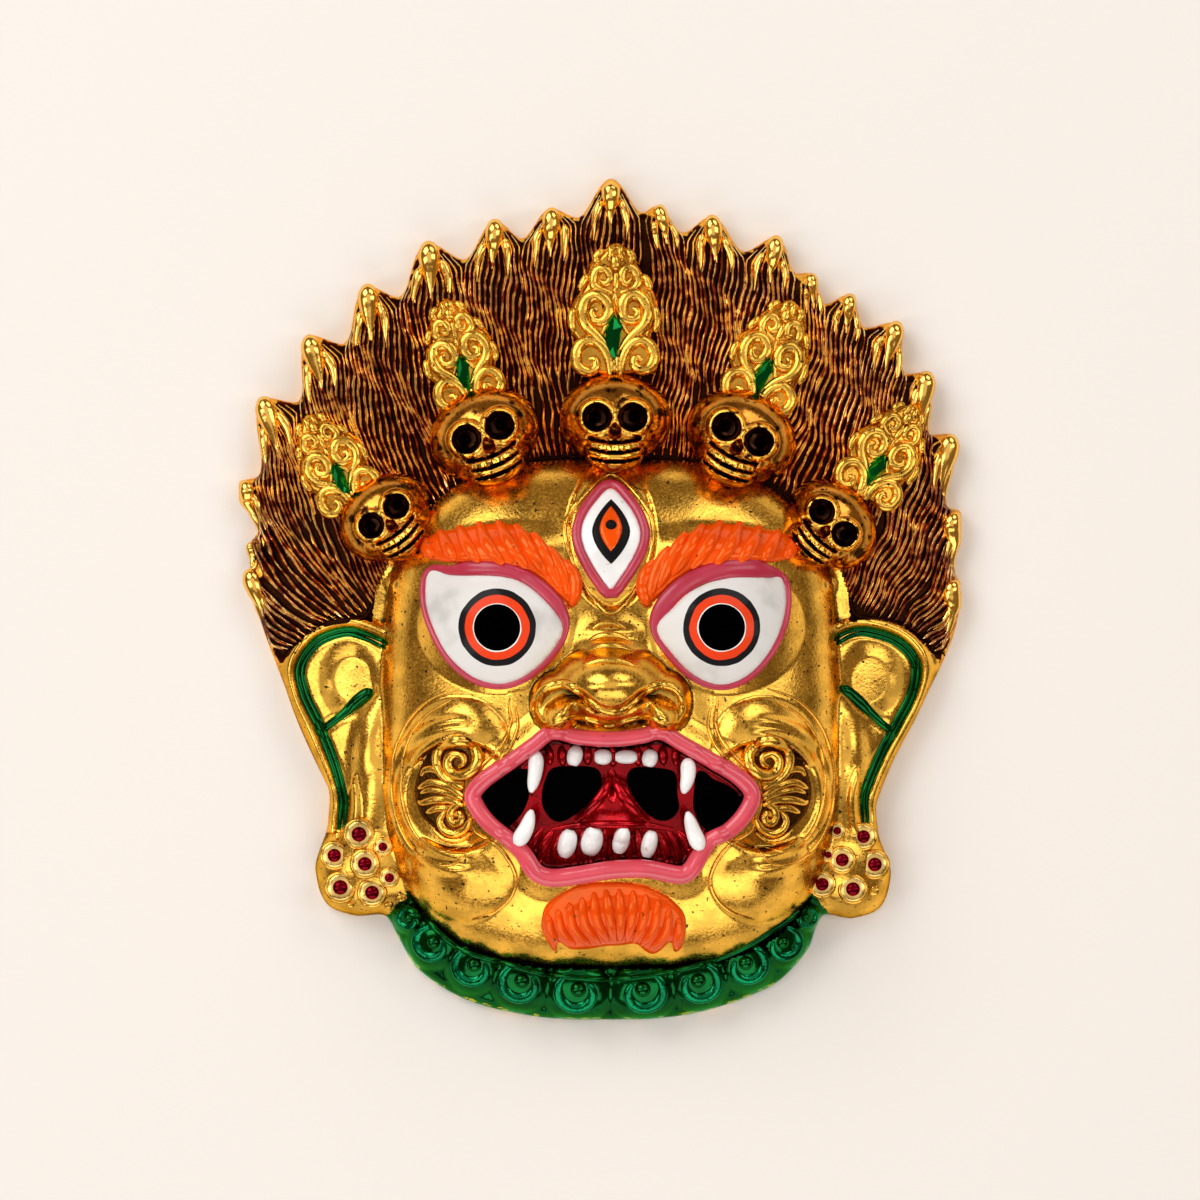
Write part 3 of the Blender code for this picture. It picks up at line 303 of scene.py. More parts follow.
class Relief:
    """Heights of the casting's front and hollow back, in millimetres above the ground rim."""

    RIM, PLATE_RISE, WALL = 4.0, 7.0, 2.4
    FOOT, RISE = 10.0, 23.5
    NOSE_EDGE = ((0.0, 2.8, 6.6, 11.6, 15.2, 17.6, 18.4), (-16.4, -15.3, -11.8, -10.2, -11.8, -16.2, -20.0))

    def __init__(self) -> None:
        self.outline = Plan.outline()
        self.lips = curve(LIP_LINE, 1.2, closed=True)
        self.ear_paths = [curve(path, 1.5) for path in (EAR_LINE_LEFT, EAR_LINE_RIGHT)]
        self.branch_paths = [curve(path, 1.5) for path in (EAR_BRANCH_LEFT, EAR_BRANCH_RIGHT)]

    def plate(self, u: Array, v: Array) -> Array:
        """The sloping plate of hair, ears and collar with no carving."""
        degrees = np.degrees(np.arctan2(v, u)) % 360
        outer, inner = Plan.radius(degrees), Plan.face_edge(degrees)
        share = np.clip((outer - np.hypot(u, v)) / (outer - inner), 0.0, 1.0)
        return self.RIM + self.PLATE_RISE * share**0.8

    def dome(self, u: Array, v: Array, inset: float = 0.0) -> Array:
        """The face with no features."""
        share = np.clip(Plan.face_share(u, v, inset), 0.0, 1.0)
        return self.FOOT + self.RISE * (1 - share**2.6) ** 0.55

    @staticmethod
    def in_hair(u: Array, v: Array) -> Array:
        """Whether the plate is hair there, above the arcs over the ears."""
        degrees = (np.degrees(np.arctan2(v, u)) + 90) % 360 - 90
        arc = 4.9 - 0.045 * np.clip(np.abs(u) - 63.0, 0, None) ** 2 - 0.012 * np.clip(63.0 - np.abs(u), 0, None) ** 2
        return (degrees > -10) & (degrees < 190) & (v > arc)

    @staticmethod
    def temple(u: Array, v: Array) -> Array:
        """Whether the plate beside the eye is bare gilt."""
        return (np.abs(u) < 56.6) & (v < 23.0) & (v > -3.0)

    def ears(self, u: Array, v: Array) -> Array:
        """The ears' rims, bowls, channels and lobes, above the plate."""
        across = np.abs(u)
        height = np.zeros(np.shape(u))
        for line, branch in zip(self.ear_paths, self.branch_paths):
            gap = path_distance(u, v, line)
            inner = in_loop(np.stack((u, v), -1), line)
            height += 1.6 * swell((gap - 2.7) / 1.9) * ~inner - 0.8 * swell(gap / 1.8)
            height -= 0.7 * swell(path_distance(u, v, branch) / 2.0)
        bowl = oval_share(across, v, (61.5, -9.5), 8.4, 10.5)
        lobe = oval_share(across, v, (57.0, -33.0), 5.5, 16.0)
        fold = oval_share(across, v, (57.5, -22.0), 5.0, 14.0, 20)
        return 1.6 + height - 3.0 * swell(bowl) + 2.2 * swell(lobe) + 1.4 * swell(fold)

    def nose(self, across: Array, v: Array) -> Array:
        """The nose as a height above the bare face."""
        bridge = 6.4 * swell(across / 11.5) * ramp(-v, -9, 4) * ramp(v, -14, -8)
        wrinkles = 0.7 * np.cos(2 * np.pi * (v - 2.4) / 4.1) * swell(across / 9.0) * swell((v + 1.6) / 8.0)
        ball = 14.6 * bulb(oval_share(across, v, (0.0, -10.4), 14.5, 9.6))
        wing = 10.4 * bulb(oval_share(across, v, (12.6, -14.4), 6.5, 7.6))
        body = smooth_max(smooth_max(ball, wing, 2.6), bridge + wrinkles, 3.0)
        under = 5.2 + smooth_max(
            4.4 * bulb(oval_share(across, v, (9.0, -17.2), 6.6, 4.4)), 3.0 * bulb(oval_share(across, v, (0, -18.6), 8, 3.6)),
            1.0,
        )
        below = ramp(np.interp(across, *self.NOSE_EDGE) - v, -0.2, 1.0) * (across < 18.2)
        return body * (1 - below) + np.minimum(body, under) * below

    def cheeks(self, across: Array, v: Array) -> Array:
        """The balls of cheek and jaw with the rings round the fan, above the bare face."""
        cheek = 4.4 * bulb(oval_share(across, v, (35.8, -25.5), 12.6, 12.2))
        jaw = 4.0 * bulb(oval_share(across, v, (34.4, -54.0), 12.6, 13.0))
        ring = np.hypot(across - 35.6, v + 36.7)
        outer = across - 32.0
        rims = (1.0 * swell((ring - 14.2) / 1.5) + 0.9 * swell((ring - 17.8) / 1.7)) * ramp(outer, 0.0, 5.0)
        well = ramp(-ring, -13.4, -12.2)
        cheeks = smooth_max(cheek, jaw, 0.6)
        return cheeks * (1 - 0.75 * well) + rims * (1 - well) - 0.6 * well

    def eyes(self, across: Array, v: Array) -> Array:
        """The eyeballs and the swelling of the brow over them."""
        ball = oval_share(across, v, (26.8, 3.2), 19.0, 16.0)
        brow = oval_share(across, v, (27.0, 21.0), 21.0, 7.5, -6)
        return 5.0 * bulb(ball) ** 1.3 + 3.2 * swell(brow)

    def front(self, u: Array, v: Array) -> Array:
        """Height of the casting's front."""
        across = np.abs(u)
        plate = self.plate(u, v)
        near_tip = np.full(np.shape(u), 99.0)
        for tip in TIPS:
            inward = -tip / np.hypot(*tip)
            near_tip = np.minimum(near_tip, path_distance(u, v, np.array((tip + inward, tip + 4.5 * inward))))
        collar = (np.degrees(np.arctan2(v, u)) % 360 > 231) & (np.degrees(np.arctan2(v, u)) % 360 < 308.5)
        carved = plate + self.in_hair(u, v) * 1.1 * swell(near_tip / 3.0) - 3.0 * collar
        for boss in COLLAR_BOSSES:
            place, lean = collar_place(boss)
            share = oval_share(u, v, place, 1.16 * boss[2] * PX, 1.26 * boss[3] * PX, lean)
            boss_top = plate - 1.0 + 4.6 * np.clip(1.0 - share**2.6, 0.0, 1.0) ** 0.6
            carved = np.where(collar, np.maximum(carved, np.where(share < 1, boss_top, 0.0)), carved)
        low = ~self.in_hair(u, v) & (v > -46)
        carved = carved + low * self.ears(u, v)
        lobe = np.minimum(
            oval_share(u, v, (-58.4, -53.5), 11.2, 11.8), oval_share(u, v, (57.2, -53.0), 9.8, 11.6)
        )
        carved = np.maximum(carved, plate + 3.4 * bulb(lobe))
        face = self.dome(u, v) - 75.0 * np.clip(Plan.face_share(u, v) - 1, 0, None)
        face = face + smooth_max(self.eyes(across, v), np.maximum(self.cheeks(across, v), -1.2), 1.5)
        near_nose = (across < 24) & (v < 12) & (v > -26)
        face = np.where(near_nose, smooth_max(face, self.dome(u, v) + self.nose(across, v), 1.5), face)
        third = oval_share(u, v, (0, 24.5), 10.3, 17.0)
        face = face + 1.0 * swell(third) - 0.8 * swell((third - 0.98) / 0.07)
        temple = 2.2 * swell(oval_share(across, v, (52.6, 13.6), 2.6, 3.4))
        face = face + temple
        lip_depth = depth_in(u, v, self.lips)
        muzzle = 3.0 * swell(np.clip(-lip_depth, 0, None) / 7.0)
        inside = ramp(lip_depth, 0.2, 2.6)
        tongue = 4.4 * bulb(oval_share(u, v, (0.3, -39.5), 8.6, 7.6))
        slit = 1.2 * swell(oval_share(u, v, (0.2, -35.0), 0.7, 4.0))
        floor = self.dome(u, v) - 3.2 + tongue - slit
        face = (face + muzzle) * (1 - inside) + floor * inside
        chin = 2.6 * swell(oval_share(u, v, (0.4, -66.0), 19.0, 9.5))
        face = face + chin * (1 - inside)
        height = np.where(Plan.face_share(u, v) < 1, np.maximum(face, carved - 2.0), carved)
        beside = (~self.in_hair(u, v) | self.temple(u, v)) & ~collar & (across > 36) & (v > -66)
        height = np.where(beside, smooth_max(face, carved, 3.0), height)
        degrees = np.degrees(np.arctan2(v, u)) % 360
        near = Plan.radius(degrees) - np.hypot(u, v) < 8.0
        inward = np.full(np.shape(u), 9.0)
        loop = np.vstack((self.outline[::3], self.outline[:1]))
        inward[near] = path_distance(u[near], v[near], loop)
        return height - 1.5 * (1 - np.clip(inward / 2.0, 0, 1)) ** 2.2

    def back(self, u: Array, v: Array) -> Array:
        """Height of the hollow back: level on the ground rim, then under the bare forms."""
        degrees = np.degrees(np.arctan2(v, u)) % 360
        window = np.linspace(-6, 6, 13)
        rim = np.min([Plan.radius(degrees + shift) for shift in window], axis=0) - 3.2
        hollow = self.plate(u, v) - self.WALL - 1.6
        inner = np.where(Plan.face_share(u, v, self.WALL) < 1, self.dome(u, v, self.WALL) - self.WALL - 2.0, 0.0)
        return np.maximum(hollow, inner) * ramp(rim - np.hypot(u, v), 0.0, 1.6)


class Heights:
    """Heights worked out once on a square grid, and read off between its points."""

    STEP = 0.5

    def __init__(self, height: Height, outline: Array) -> None:
        self.start = outline.min(axis=0) - 3.0
        count = np.ceil((outline.max(axis=0) + 3.0 - self.start) / self.STEP).astype(int) + 1
        axes = [self.start[i] + np.arange(count[i]) * self.STEP for i in (0, 1)]
        self.grid = height(*np.meshgrid(*axes, indexing="ij"))

    def at(self, points: Array, grid: Array | None = None) -> Array:
        """Heights at plan points."""
        h = self.grid if grid is None else grid
        place = np.clip((points[..., :2] - self.start) / self.STEP, 0, np.array(h.shape) - 1.001)
        cell = place.astype(int)
        i, j = cell[..., 0], cell[..., 1]
        s, t = place[..., 0] - i, place[..., 1] - j
        low = h[i, j] * (1 - s) + h[i + 1, j] * s
        return low * (1 - t) + (h[i, j + 1] * (1 - s) + h[i + 1, j + 1] * s) * t

    def hollows(self, reach: int) -> Array:
        """How far each grid point lies below the mean height round it."""
        mean = self.grid
        for axis in (0, 1):
            mean = np.mean([np.roll(mean, shift, axis=axis) for shift in range(-reach, reach + 1)], axis=0)
        return mean - self.grid


@dataclass(frozen=True)
class Strip:
    """A path to sweep a form along: points in millimetres and half widths, and how bare its gilding is."""

    points: Array
    half_widths: Array
    closed: bool = False
    bare: float | Array = 0.0


class Nodes:
    """Short hand for the nodes of one tree."""

    def __init__(self, tree: bpy.types.NodeTree) -> None:
        self.tree = tree

    def add(self, kind: str, settings: dict | None = None, **inputs: object) -> bpy.types.Node:
        """Add a node.

        Args:
            kind: The node's type name.
            settings: Its own properties.
            **inputs: Values or sockets for its inputs, by name with _ for a space.

        Returns:
            The node.
        """
        node = self.tree.nodes.new(kind)
        for key, value in (settings or {}).items():
            setattr(node, key, value)
        for key, value in inputs.items():
            self.feed(node, int(key[1:]) if key[0] == "_" else key.replace("_", " "), value)
        return node

    def feed(self, node: bpy.types.Node, key: int | str, value: object) -> None:
        """Set one input of a node, or wire a socket to it."""
        socket = node.inputs[key]
        if isinstance(value, bpy.types.NodeSocket):
            self.tree.links.new(value, socket)
        else:
            socket.default_value = value


class Surface(Enum):
    """The kinds of finish on the mask."""

    GILT = "gilt"
    STRAND = "strand"
    SKULL = "skull"
    LACQUER = "lacquer"
    ENAMEL = "enamel"
    EYE = "eye"
    THIRD_EYE = "third eye"


@dataclass(frozen=True)
class Finish:
    """One finish: its kind, colours and gloss."""

    name: str
    surface: Surface
    colour: tuple[float, float, float]
    # The darker second colour goes on as random specks, patches and chips, into the grooves of the strands, and as
    # painted shade in hollows.
    second: tuple[float, float, float] = (0.02, 0.012, 0.006)
    metallic: float = 0.0
    roughness: float = 0.25
    coat: float = 0.0
    bump: float = 0.3
    centre: tuple[float, float] = (0.0, 0.0)

    def material(self) -> bpy.types.Material:
        """Make the material, or return the one already made."""
        made = bpy.data.materials.get(self.name)
        if made:
            return made
        material = bpy.data.materials.new(self.name)
        material.use_nodes = True
        shader = material.node_tree.nodes["Principled BSDF"]
        shader.inputs["Metallic"].default_value = self.metallic
        shader.inputs["Coat Weight"].default_value = self.coat
        shader.inputs["Coat Roughness"].default_value = 0.06
        if self.name == "orange_enamel":
            shader.inputs["Specular Tint"].default_value = (1.0, 0.55, 0.18, 1.0)
            shader.inputs["Specular IOR Level"].default_value = 0.8
        if self.surface is Surface.EYE or self.name == "black_enamel":
            shader.inputs["Specular IOR Level"].default_value = 0.06
        if self.metallic > 0.8:
            tint = [0.3 + 0.7 * c / max(self.colour) for c in self.colour]
            shader.inputs["Specular Tint"].default_value = (*tint, 1.0)
        n = Nodes(material.node_tree)
        coords = n.add("ShaderNodeTexCoord").outputs["Object"]
        colour, roughness, height = self.layers(n, coords)
        n.feed(shader, "Base Color", colour)
        if isinstance(roughness, bpy.types.NodeSocket):
            n.feed(shader, "Roughness", roughness)
        else:
            shader.inputs["Roughness"].default_value = self.roughness
        bump = n.add("ShaderNodeBump", None, Strength=self.bump, Distance=0.0003, Height=height)
        n.feed(shader, "Normal", bump.outputs[0])
        return material

    def noise(self, n: Nodes, coords: object, scale: float, detail: float = 2.0) -> bpy.types.NodeSocket:
        """A noise texture's value."""
        return n.add("ShaderNodeTexNoise", None, Vector=coords, Scale=scale, Detail=detail).outputs[0]

    def span(self, n: Nodes, value: object, low: float, high: float, to: tuple[float, float] = (0.0, 1.0)) -> object:
        """Stretch a value between two limits."""
        return n.add(
            "ShaderNodeMapRange", {"interpolation_type": "SMOOTHSTEP"}, Value=value, From_Min=low, From_Max=high,
            To_Min=to[0], To_Max=to[1],
        ).outputs[0]

    def mix(self, n: Nodes, share: object, first: object, other: object) -> object:
        """Mix two colours."""
        node = n.add("ShaderNodeMix", {"data_type": "RGBA"}, _0=share)
        for key, value in ((6, first), (7, other)):
            n.feed(node, key, (*value, 1.0) if isinstance(value, tuple) else value)
        return node.outputs[2]

    def sum(self, n: Nodes, a: object, b: object, operation: str = "ADD") -> object:
        """One arithmetic step."""
        return n.add("ShaderNodeMath", {"operation": operation}, _0=a, _1=b).outputs[0]

    def attribute(self, n: Nodes, name: str) -> object:
        """A number that the mesh carries at each point."""
        return n.add("ShaderNodeAttribute", {"attribute_name": name}).outputs["Fac"]

    def layers(self, n: Nodes, coords: object) -> tuple[object, object, object]:
        """The colour, roughness and bump height of this finish."""
        fine, broad = self.noise(n, coords, 1500.0, 4.0), self.noise(n, coords, 160.0, 3.0)
        specks = self.span(n, self.noise(n, coords, 900.0, 1.0), 0.69, 0.73)
        if self.surface in (Surface.GILT, Surface.LACQUER, Surface.SKULL):
            deep = tuple(0.62 * c for c in self.colour)
            colour = self.mix(n, self.span(n, broad, 0.35, 0.65), self.colour, deep)
            # Painted shade: the second colour is mixed in where the surface lies below the mean height round it, in
            # hollows, creases and seams.
            hollow = self.span(n, self.attribute(n, "hollow"), 0.3, 1.25)
            colour = self.mix(n, hollow, colour, self.second)
            if self.name == "hair_lacquer":
                worn = self.sum(n, self.attribute(n, "bare"), self.noise(n, coords, 500.0, 3.0))
                colour = self.mix(n, self.span(n, worn, 0.95, 1.15), colour, GOLD)
            if self.name == "green_lacquer":
                worn = self.sum(n, self.attribute(n, "bare"), self.noise(n, coords, 330.0, 3.0))
                colour = self.mix(n, self.span(n, worn, 1.28, 1.34), colour, GOLD)
            colour = self.mix(n, specks, colour, self.second)
            if self.surface is Surface.SKULL:
                # Painted highlight: where the hollow value runs below zero, on a skull's orbit rims and jaw bands, the
                # lacquer turns to bright gilt.
                colour = self.mix(n, self.span(n, self.attribute(n, "hollow"), -0.2, -0.9), colour, GOLD)
                patch = self.span(n, self.noise(n, coords, 330.0, 4.0), 0.57, 0.66)
                colour = self.mix(n, patch, colour, self.second)
            roughness = self.span(n, fine, 0.3, 0.7, (self.roughness * 0.7, self.roughness * 1.4))
            return colour, roughness, self.sum(n, fine, self.sum(n, broad, 2.0, "MULTIPLY"))
        if self.surface is Surface.STRAND:
            crest = self.attribute(n, "crest")
            worn = self.sum(n, self.sum(n, self.noise(n, coords, 430.0, 3.0), 0.5, "SUBTRACT"), 1.35, "MULTIPLY")
            edge = self.sum(n, self.sum(n, crest, self.attribute(n, "bare")), worn)
            stain = self.mix(n, self.span(n, edge, 0.44, 0.68), self.second, RED_STAIN)
            # The crest is bare gilt where the lacquer is worn; the band is kept thin and the strands' gilt paler than
            # the face's, as a painted highlight.
            colour = self.mix(n, self.span(n, edge, 0.79, 0.89), stain, self.colour)
            return colour, self.roughness, fine
        if self.surface is Surface.EYE:
            return self.rings(n, coords, ((5.7, (0.93, 0.93, 0.9)), (7.6, (0.83, 0.06, 0.015)),
                                          (9.1, (0.012, 0.012, 0.014))), 1.0), self.roughness, broad
        if self.surface is Surface.THIRD_EYE:
            return self.rings(n, coords, ((1.25, (0.012, 0.012, 0.014)), (2.9, (0.83, 0.12, 0.02)),
                                          (4.6, (0.012, 0.012, 0.014))), 2.0), self.roughness, broad
        chips = self.span(n, self.noise(n, coords, 420.0, 4.0), 0.70, 0.72)
        shade = self.mix(n, self.span(n, broad, 0.3, 0.7), self.colour, tuple(0.86 * c for c in self.colour))
        return self.mix(n, chips, shade, self.second), self.roughness, broad

    def rings(self, n: Nodes, coords: object, bands: tuple, tall: float) -> object:
        """Rings of enamel about the finish's centre, each out to its own radius in millimetres."""
        wobble = n.add("ShaderNodeTexNoise", None, Vector=coords, Scale=260.0, Detail=1.0)
        parts = n.add("ShaderNodeSeparateXYZ", None, Vector=coords)
        x = self.sum(n, parts.outputs[0], self.centre[0] / 1000, "SUBTRACT")
        y = self.sum(n, parts.outputs[1], self.centre[1] / 1000, "SUBTRACT")
        away = self.sum(n, self.sum(n, x, x, "MULTIPLY"), self.sum(n, y, y, "MULTIPLY"))
        away = self.sum(n, self.sum(n, away, 0.5, "POWER"), 1000.0, "MULTIPLY")
        away = self.sum(n, away, self.sum(n, wobble.outputs[0], 0.5, "MULTIPLY"))
        cloud = self.span(n, self.noise(n, coords, 90.0, 3.0), 0.5, 0.72)
        colour: object = self.mix(n, cloud, self.colour, tuple(0.78 * c for c in self.colour))
        for radius, tint in reversed(bands):
            colour = self.mix(n, self.span(n, away, radius + 0.22, radius + 0.28), tint, colour)
        return colour


GOLD = (1.0, 0.55, 0.08)
RED_STAIN = (0.33, 0.045, 0.009)
# The gilt's second colour is mostly its painted shade in hollows and seams.
GILT = Finish("gilt", Surface.GILT, GOLD, (0.065, 0.042, 0.014), 1.0, 0.21, 0.0, 0.16)
# A paler copy of the gilt, a painted highlight for the flat plates of the ear drops.
GILT_HIGHLIGHT = Finish("gilt_painted_highlight", Surface.GILT, (1.0, 0.68, 0.22), (0.5, 0.25, 0.05), 1.0, 0.22, 0.0, 0.1)
HAIR_BASE = Finish("hair_lacquer", Surface.LACQUER, (0.022, 0.006, 0.002), (0.004, 0.002, 0.001), 1.0, 0.3, 0.0, 0.4)
# The strands' gilt is paler than GOLD, a painted highlight on their crests.
STRAND = Finish("hair_strand", Surface.STRAND, (1.0, 0.72, 0.28), (0.010, 0.004, 0.003), 0.98, 0.1, 0.45, 0.15)
TIP = Finish("hair_tip", Surface.STRAND, (1.0, 0.58, 0.12), (0.16, 0.05, 0.008), 1.0, 0.14, 0.2, 0.1)
SKULL = Finish("skull_lacquer", Surface.SKULL, (0.70, 0.29, 0.04), (0.03, 0.010, 0.004), 1.0, 0.15, 0.04, 0.1)
GREEN = Finish("green_lacquer", Surface.LACQUER, (0.0, 0.10, 0.018), (0.0, 0.008, 0.002), 1.0, 0.12, 0.12, 0.1)
# A lighter, bluer copy of the green lacquer, a painted highlight for the collar's crescents.
GREEN_HIGHLIGHT = Finish("green_lacquer_painted_highlight", Surface.LACQUER, (0.0, 0.19, 0.065), (0.0, 0.015, 0.004), 1.0, 0.14, 0.12, 0.25)
WHITE = Finish("white_enamel", Surface.ENAMEL, (0.96, 0.965, 0.97), (0.7, 0.68, 0.62), 0.0, 0.22, 0.5, 0.3)
ORANGE = Finish("orange_enamel", Surface.ENAMEL, (0.94, 0.085, 0.003), (0.2, 0.03, 0.0), 0.0, 0.12, 0.0, 0.35)
PINK = Finish("pink_enamel", Surface.ENAMEL, (0.76, 0.07, 0.11), (0.3, 0.02, 0.03), 0.0, 0.24, 0.5, 0.3)
CRIMSON = Finish("crimson_enamel", Surface.ENAMEL, (0.50, 0.024, 0.065), (0.3, 0.02, 0.03), 0.0, 0.3, 0.2, 0.3)
MOUTH_RED = Finish("mouth_lacquer", Surface.LACQUER, (0.42, 0.0, 0.006), (0.03, 0.0, 0.001), 0.9, 0.15, 0.25, 0.3)
RUBY = Finish("ruby_lacquer", Surface.LACQUER, (0.17, 0.0, 0.008), (0.06, 0.0, 0.003), 0.95, 0.16, 0.04, 0.1)
# Painted shade: the inside of the hollow back and the walls of its holes are near black, so the holes look dark.
INSIDE_SHADE = Finish("painted_shade_inside", Surface.LACQUER, (0.010, 0.008, 0.006), (0.004, 0.003, 0.003), 0.0, 0.6, 0.0, 0.3)
EMERALD = Finish("green_stone", Surface.ENAMEL, (0.0, 0.20, 0.04), (0.0, 0.04, 0.015), 0.95, 0.1, 0.1, 0.05)
FAN_GROUND = Finish("fan_ground", Surface.LACQUER, (0.10, 0.040, 0.006), (0.012, 0.006, 0.003), 0.95, 0.25, 0.0, 0.3)
LEAF_GROUND = Finish("leaf_ground", Surface.LACQUER, (0.80, 0.40, 0.05), (0.20, 0.08, 0.01), 1.0, 0.18, 0.0, 0.2)
BLACK = Finish("black_enamel", Surface.ENAMEL, (0.008, 0.008, 0.009), (0.02, 0.02, 0.02), 0.0, 0.3, 0.0, 0.2)


class Maker:
    """Turns reliefs and strips into pieces that ride on the mask's body."""

    def __init__(self, relief: Relief) -> None:
        self.relief = relief
        self.heights = Heights(relief.front, relief.outline)
        # Depths below the mean height round each point, used to paint shade into the hollows.
        self.hollow_shade_grid = self.heights.hollows(3)
        low, high = relief.outline.min(axis=0), relief.outline.max(axis=0)
        self.middle = (low + high) / 2
        self.group = self.sweep_group()

    def place(self, points: Array) -> Array:
        """Plan millimetres with a height, as the frame's metres."""
        return (np.asarray(points, float) - (*self.middle, 0.0)) / 1000

    def on(self, plan: Array, lift: float | Array = 0.0) -> Array:
        """Plan points laid on the casting, raised by lift."""
        plan = np.asarray(plan, float)
        return np.column_stack((plan[:, :2], self.heights.at(plan) + lift))

    def finish_piece(self, name: str, mesh: bpy.types.Mesh, finishes: Sequence[Finish], smooth: bool = True) -> bpy.types.Object:
        """Link a piece, give it its materials and let it ride on the body."""
        mesh.name = name
        for finish in finishes:
            mesh.materials.append(finish.material())
        mesh.polygons.foreach_set("use_smooth", [smooth] * len(mesh.polygons))
        if smooth:
            mesh.set_sharp_from_angle(angle=math.radians(62))
        piece = bpy.data.objects.new(name, mesh)
        bpy.context.scene.collection.objects.link(piece)
        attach(piece, BODY)
        triangles = sum(len(p.vertices) - 2 for p in mesh.polygons)
        LOG.info("%s: %d triangles", name, triangles)
        return piece

    def lattice(self, low: Array, high: Array, step: float) -> Array:
        """A triangular lattice of points over a box."""
        us, vs = np.arange(low[0], high[0], step), np.arange(low[1], high[1], step * 0.866)
        grid = np.stack(np.meshgrid(us, vs, indexing="ij"), -1)
        grid[:, ::2, 0] += step / 2
        return grid.reshape(-1, 2)

    def triangles(self, loops: Sequence[Array], lines: Sequence[Array], points: Array, clear: float | Array) -> tuple[Array, Array]:
        """Triangles over the plan inside the first loop and outside the rest.

        Args:
            loops: The outer loop, and then any holes.
            lines: Open or closed rows of points whose edges are kept.
            points: Further points, dropped where they are closer than clear to a loop or line.
            clear: That distance, for all or each.

        Returns:
            The points, loops first, and rows of three indices.
        """
        fixed, edges = [], []
        first = 0
        for loop in loops:
            edges += [(first + i, first + (i + 1) % len(loop)) for i in range(len(loop))]
            first += len(loop)
            fixed.append(loop)
        for line in lines:
            edges += [(first + i, first + i + 1) for i in range(len(line) - 1)]
            first += len(line)
            fixed.append(line)
        fixed = np.vstack(fixed)
        tree = kdtree.KDTree(len(fixed))
        for i, point in enumerate(fixed):
            tree.insert((*point, 0.0), i)
        tree.balance()
        gaps = np.array([tree.find((*point, 0.0))[2] for point in points])
        points = points[gaps > clear]
        result = delaunay_2d_cdt([Vector(p) for p in np.vstack((fixed, points))], edges, [], 0, 1e-7, False)
        plan = np.array([tuple(p) for p in result[0]])
        rows = np.array(result[2])
        middles = plan[rows].mean(axis=1)
        keep = in_loop(middles, loops[0])
        for hole in loops[1:]:
            keep &= ~in_loop(middles, hole)
        rows = rows[keep]
        a, b, c = (plan[rows[:, i]] for i in range(3))
        ahead, over = b - a, c - a
        down = ahead[:, 0] * over[:, 1] < ahead[:, 1] * over[:, 0]
        rows[down] = rows[down][:, ::-1]
        return plan, rows

    def relief_piece(
        self, name: str, loops: Sequence[Array], top: Height, bottom: Height, finishes: Sequence[Finish],
        step: float | Callable[[Array, Array], Array], lines: Sequence[Array] = (), back_step: float = 3.0,
        region: Callable[[Array], Array] | None = None, shift: Callable[[Array], Array] | None = None,
    ) -> bpy.types.Object:
        """Build a closed piece between two heights over one plan.

        Args:
            name: The piece's name.
            loops: The outer loop, and then any holes.
            top: Height of the front.
            bottom: Height of the back.
            finishes: Its finishes.
            step: Distance between the front's points, or a function that says whether a finer point is wanted.
            lines: Rows of points whose edges the front keeps.
            back_step: Distance between the back's points.
            region: Picks the finish of each front triangle from its middle.
            shift: Moves the points to their place on the mask.

        Returns:
            The piece.
        """
        low, high = loops[0].min(axis=0), loops[0].max(axis=0)
        if callable(step):
            fine = self.lattice(low, high, 0.56)
            coarse = self.lattice(low, high, 0.95)
            points = np.vstack((fine[step(*fine.T)], coarse[~step(*coarse.T)]))
            clear = 0.34
        else:
            points, clear = self.lattice(low, high, step), 0.6 * step
        front, rows = self.triangles(loops, lines, points, clear)
        rear, rear_rows = self.triangles(loops, (), self.lattice(low, high, back_step), 0.5 * back_step)
        count = sum(len(loop) for loop in loops)
        front_at = np.column_stack((front, top(*front.T)))
        rear_at = np.column_stack((rear, bottom(*rear.T)))
        spots = np.vstack((front_at, rear_at))
        if shift:
            spots = shift(spots)
        offset = len(front)
        walls = []
        first = 0
        for loop in loops:
            for i in range(len(loop)):
                a, b = first + i, first + (i + 1) % len(loop)
                walls += [(a, b, b + offset), (a, b + offset, a + offset)]
            first += len(loop)
        faces = np.vstack((rows, rear_rows[:, ::-1] + offset, np.array(walls)))
        mesh = bpy.data.meshes.new(name)
        mesh.from_pydata(self.place(spots).tolist(), [], faces.tolist())
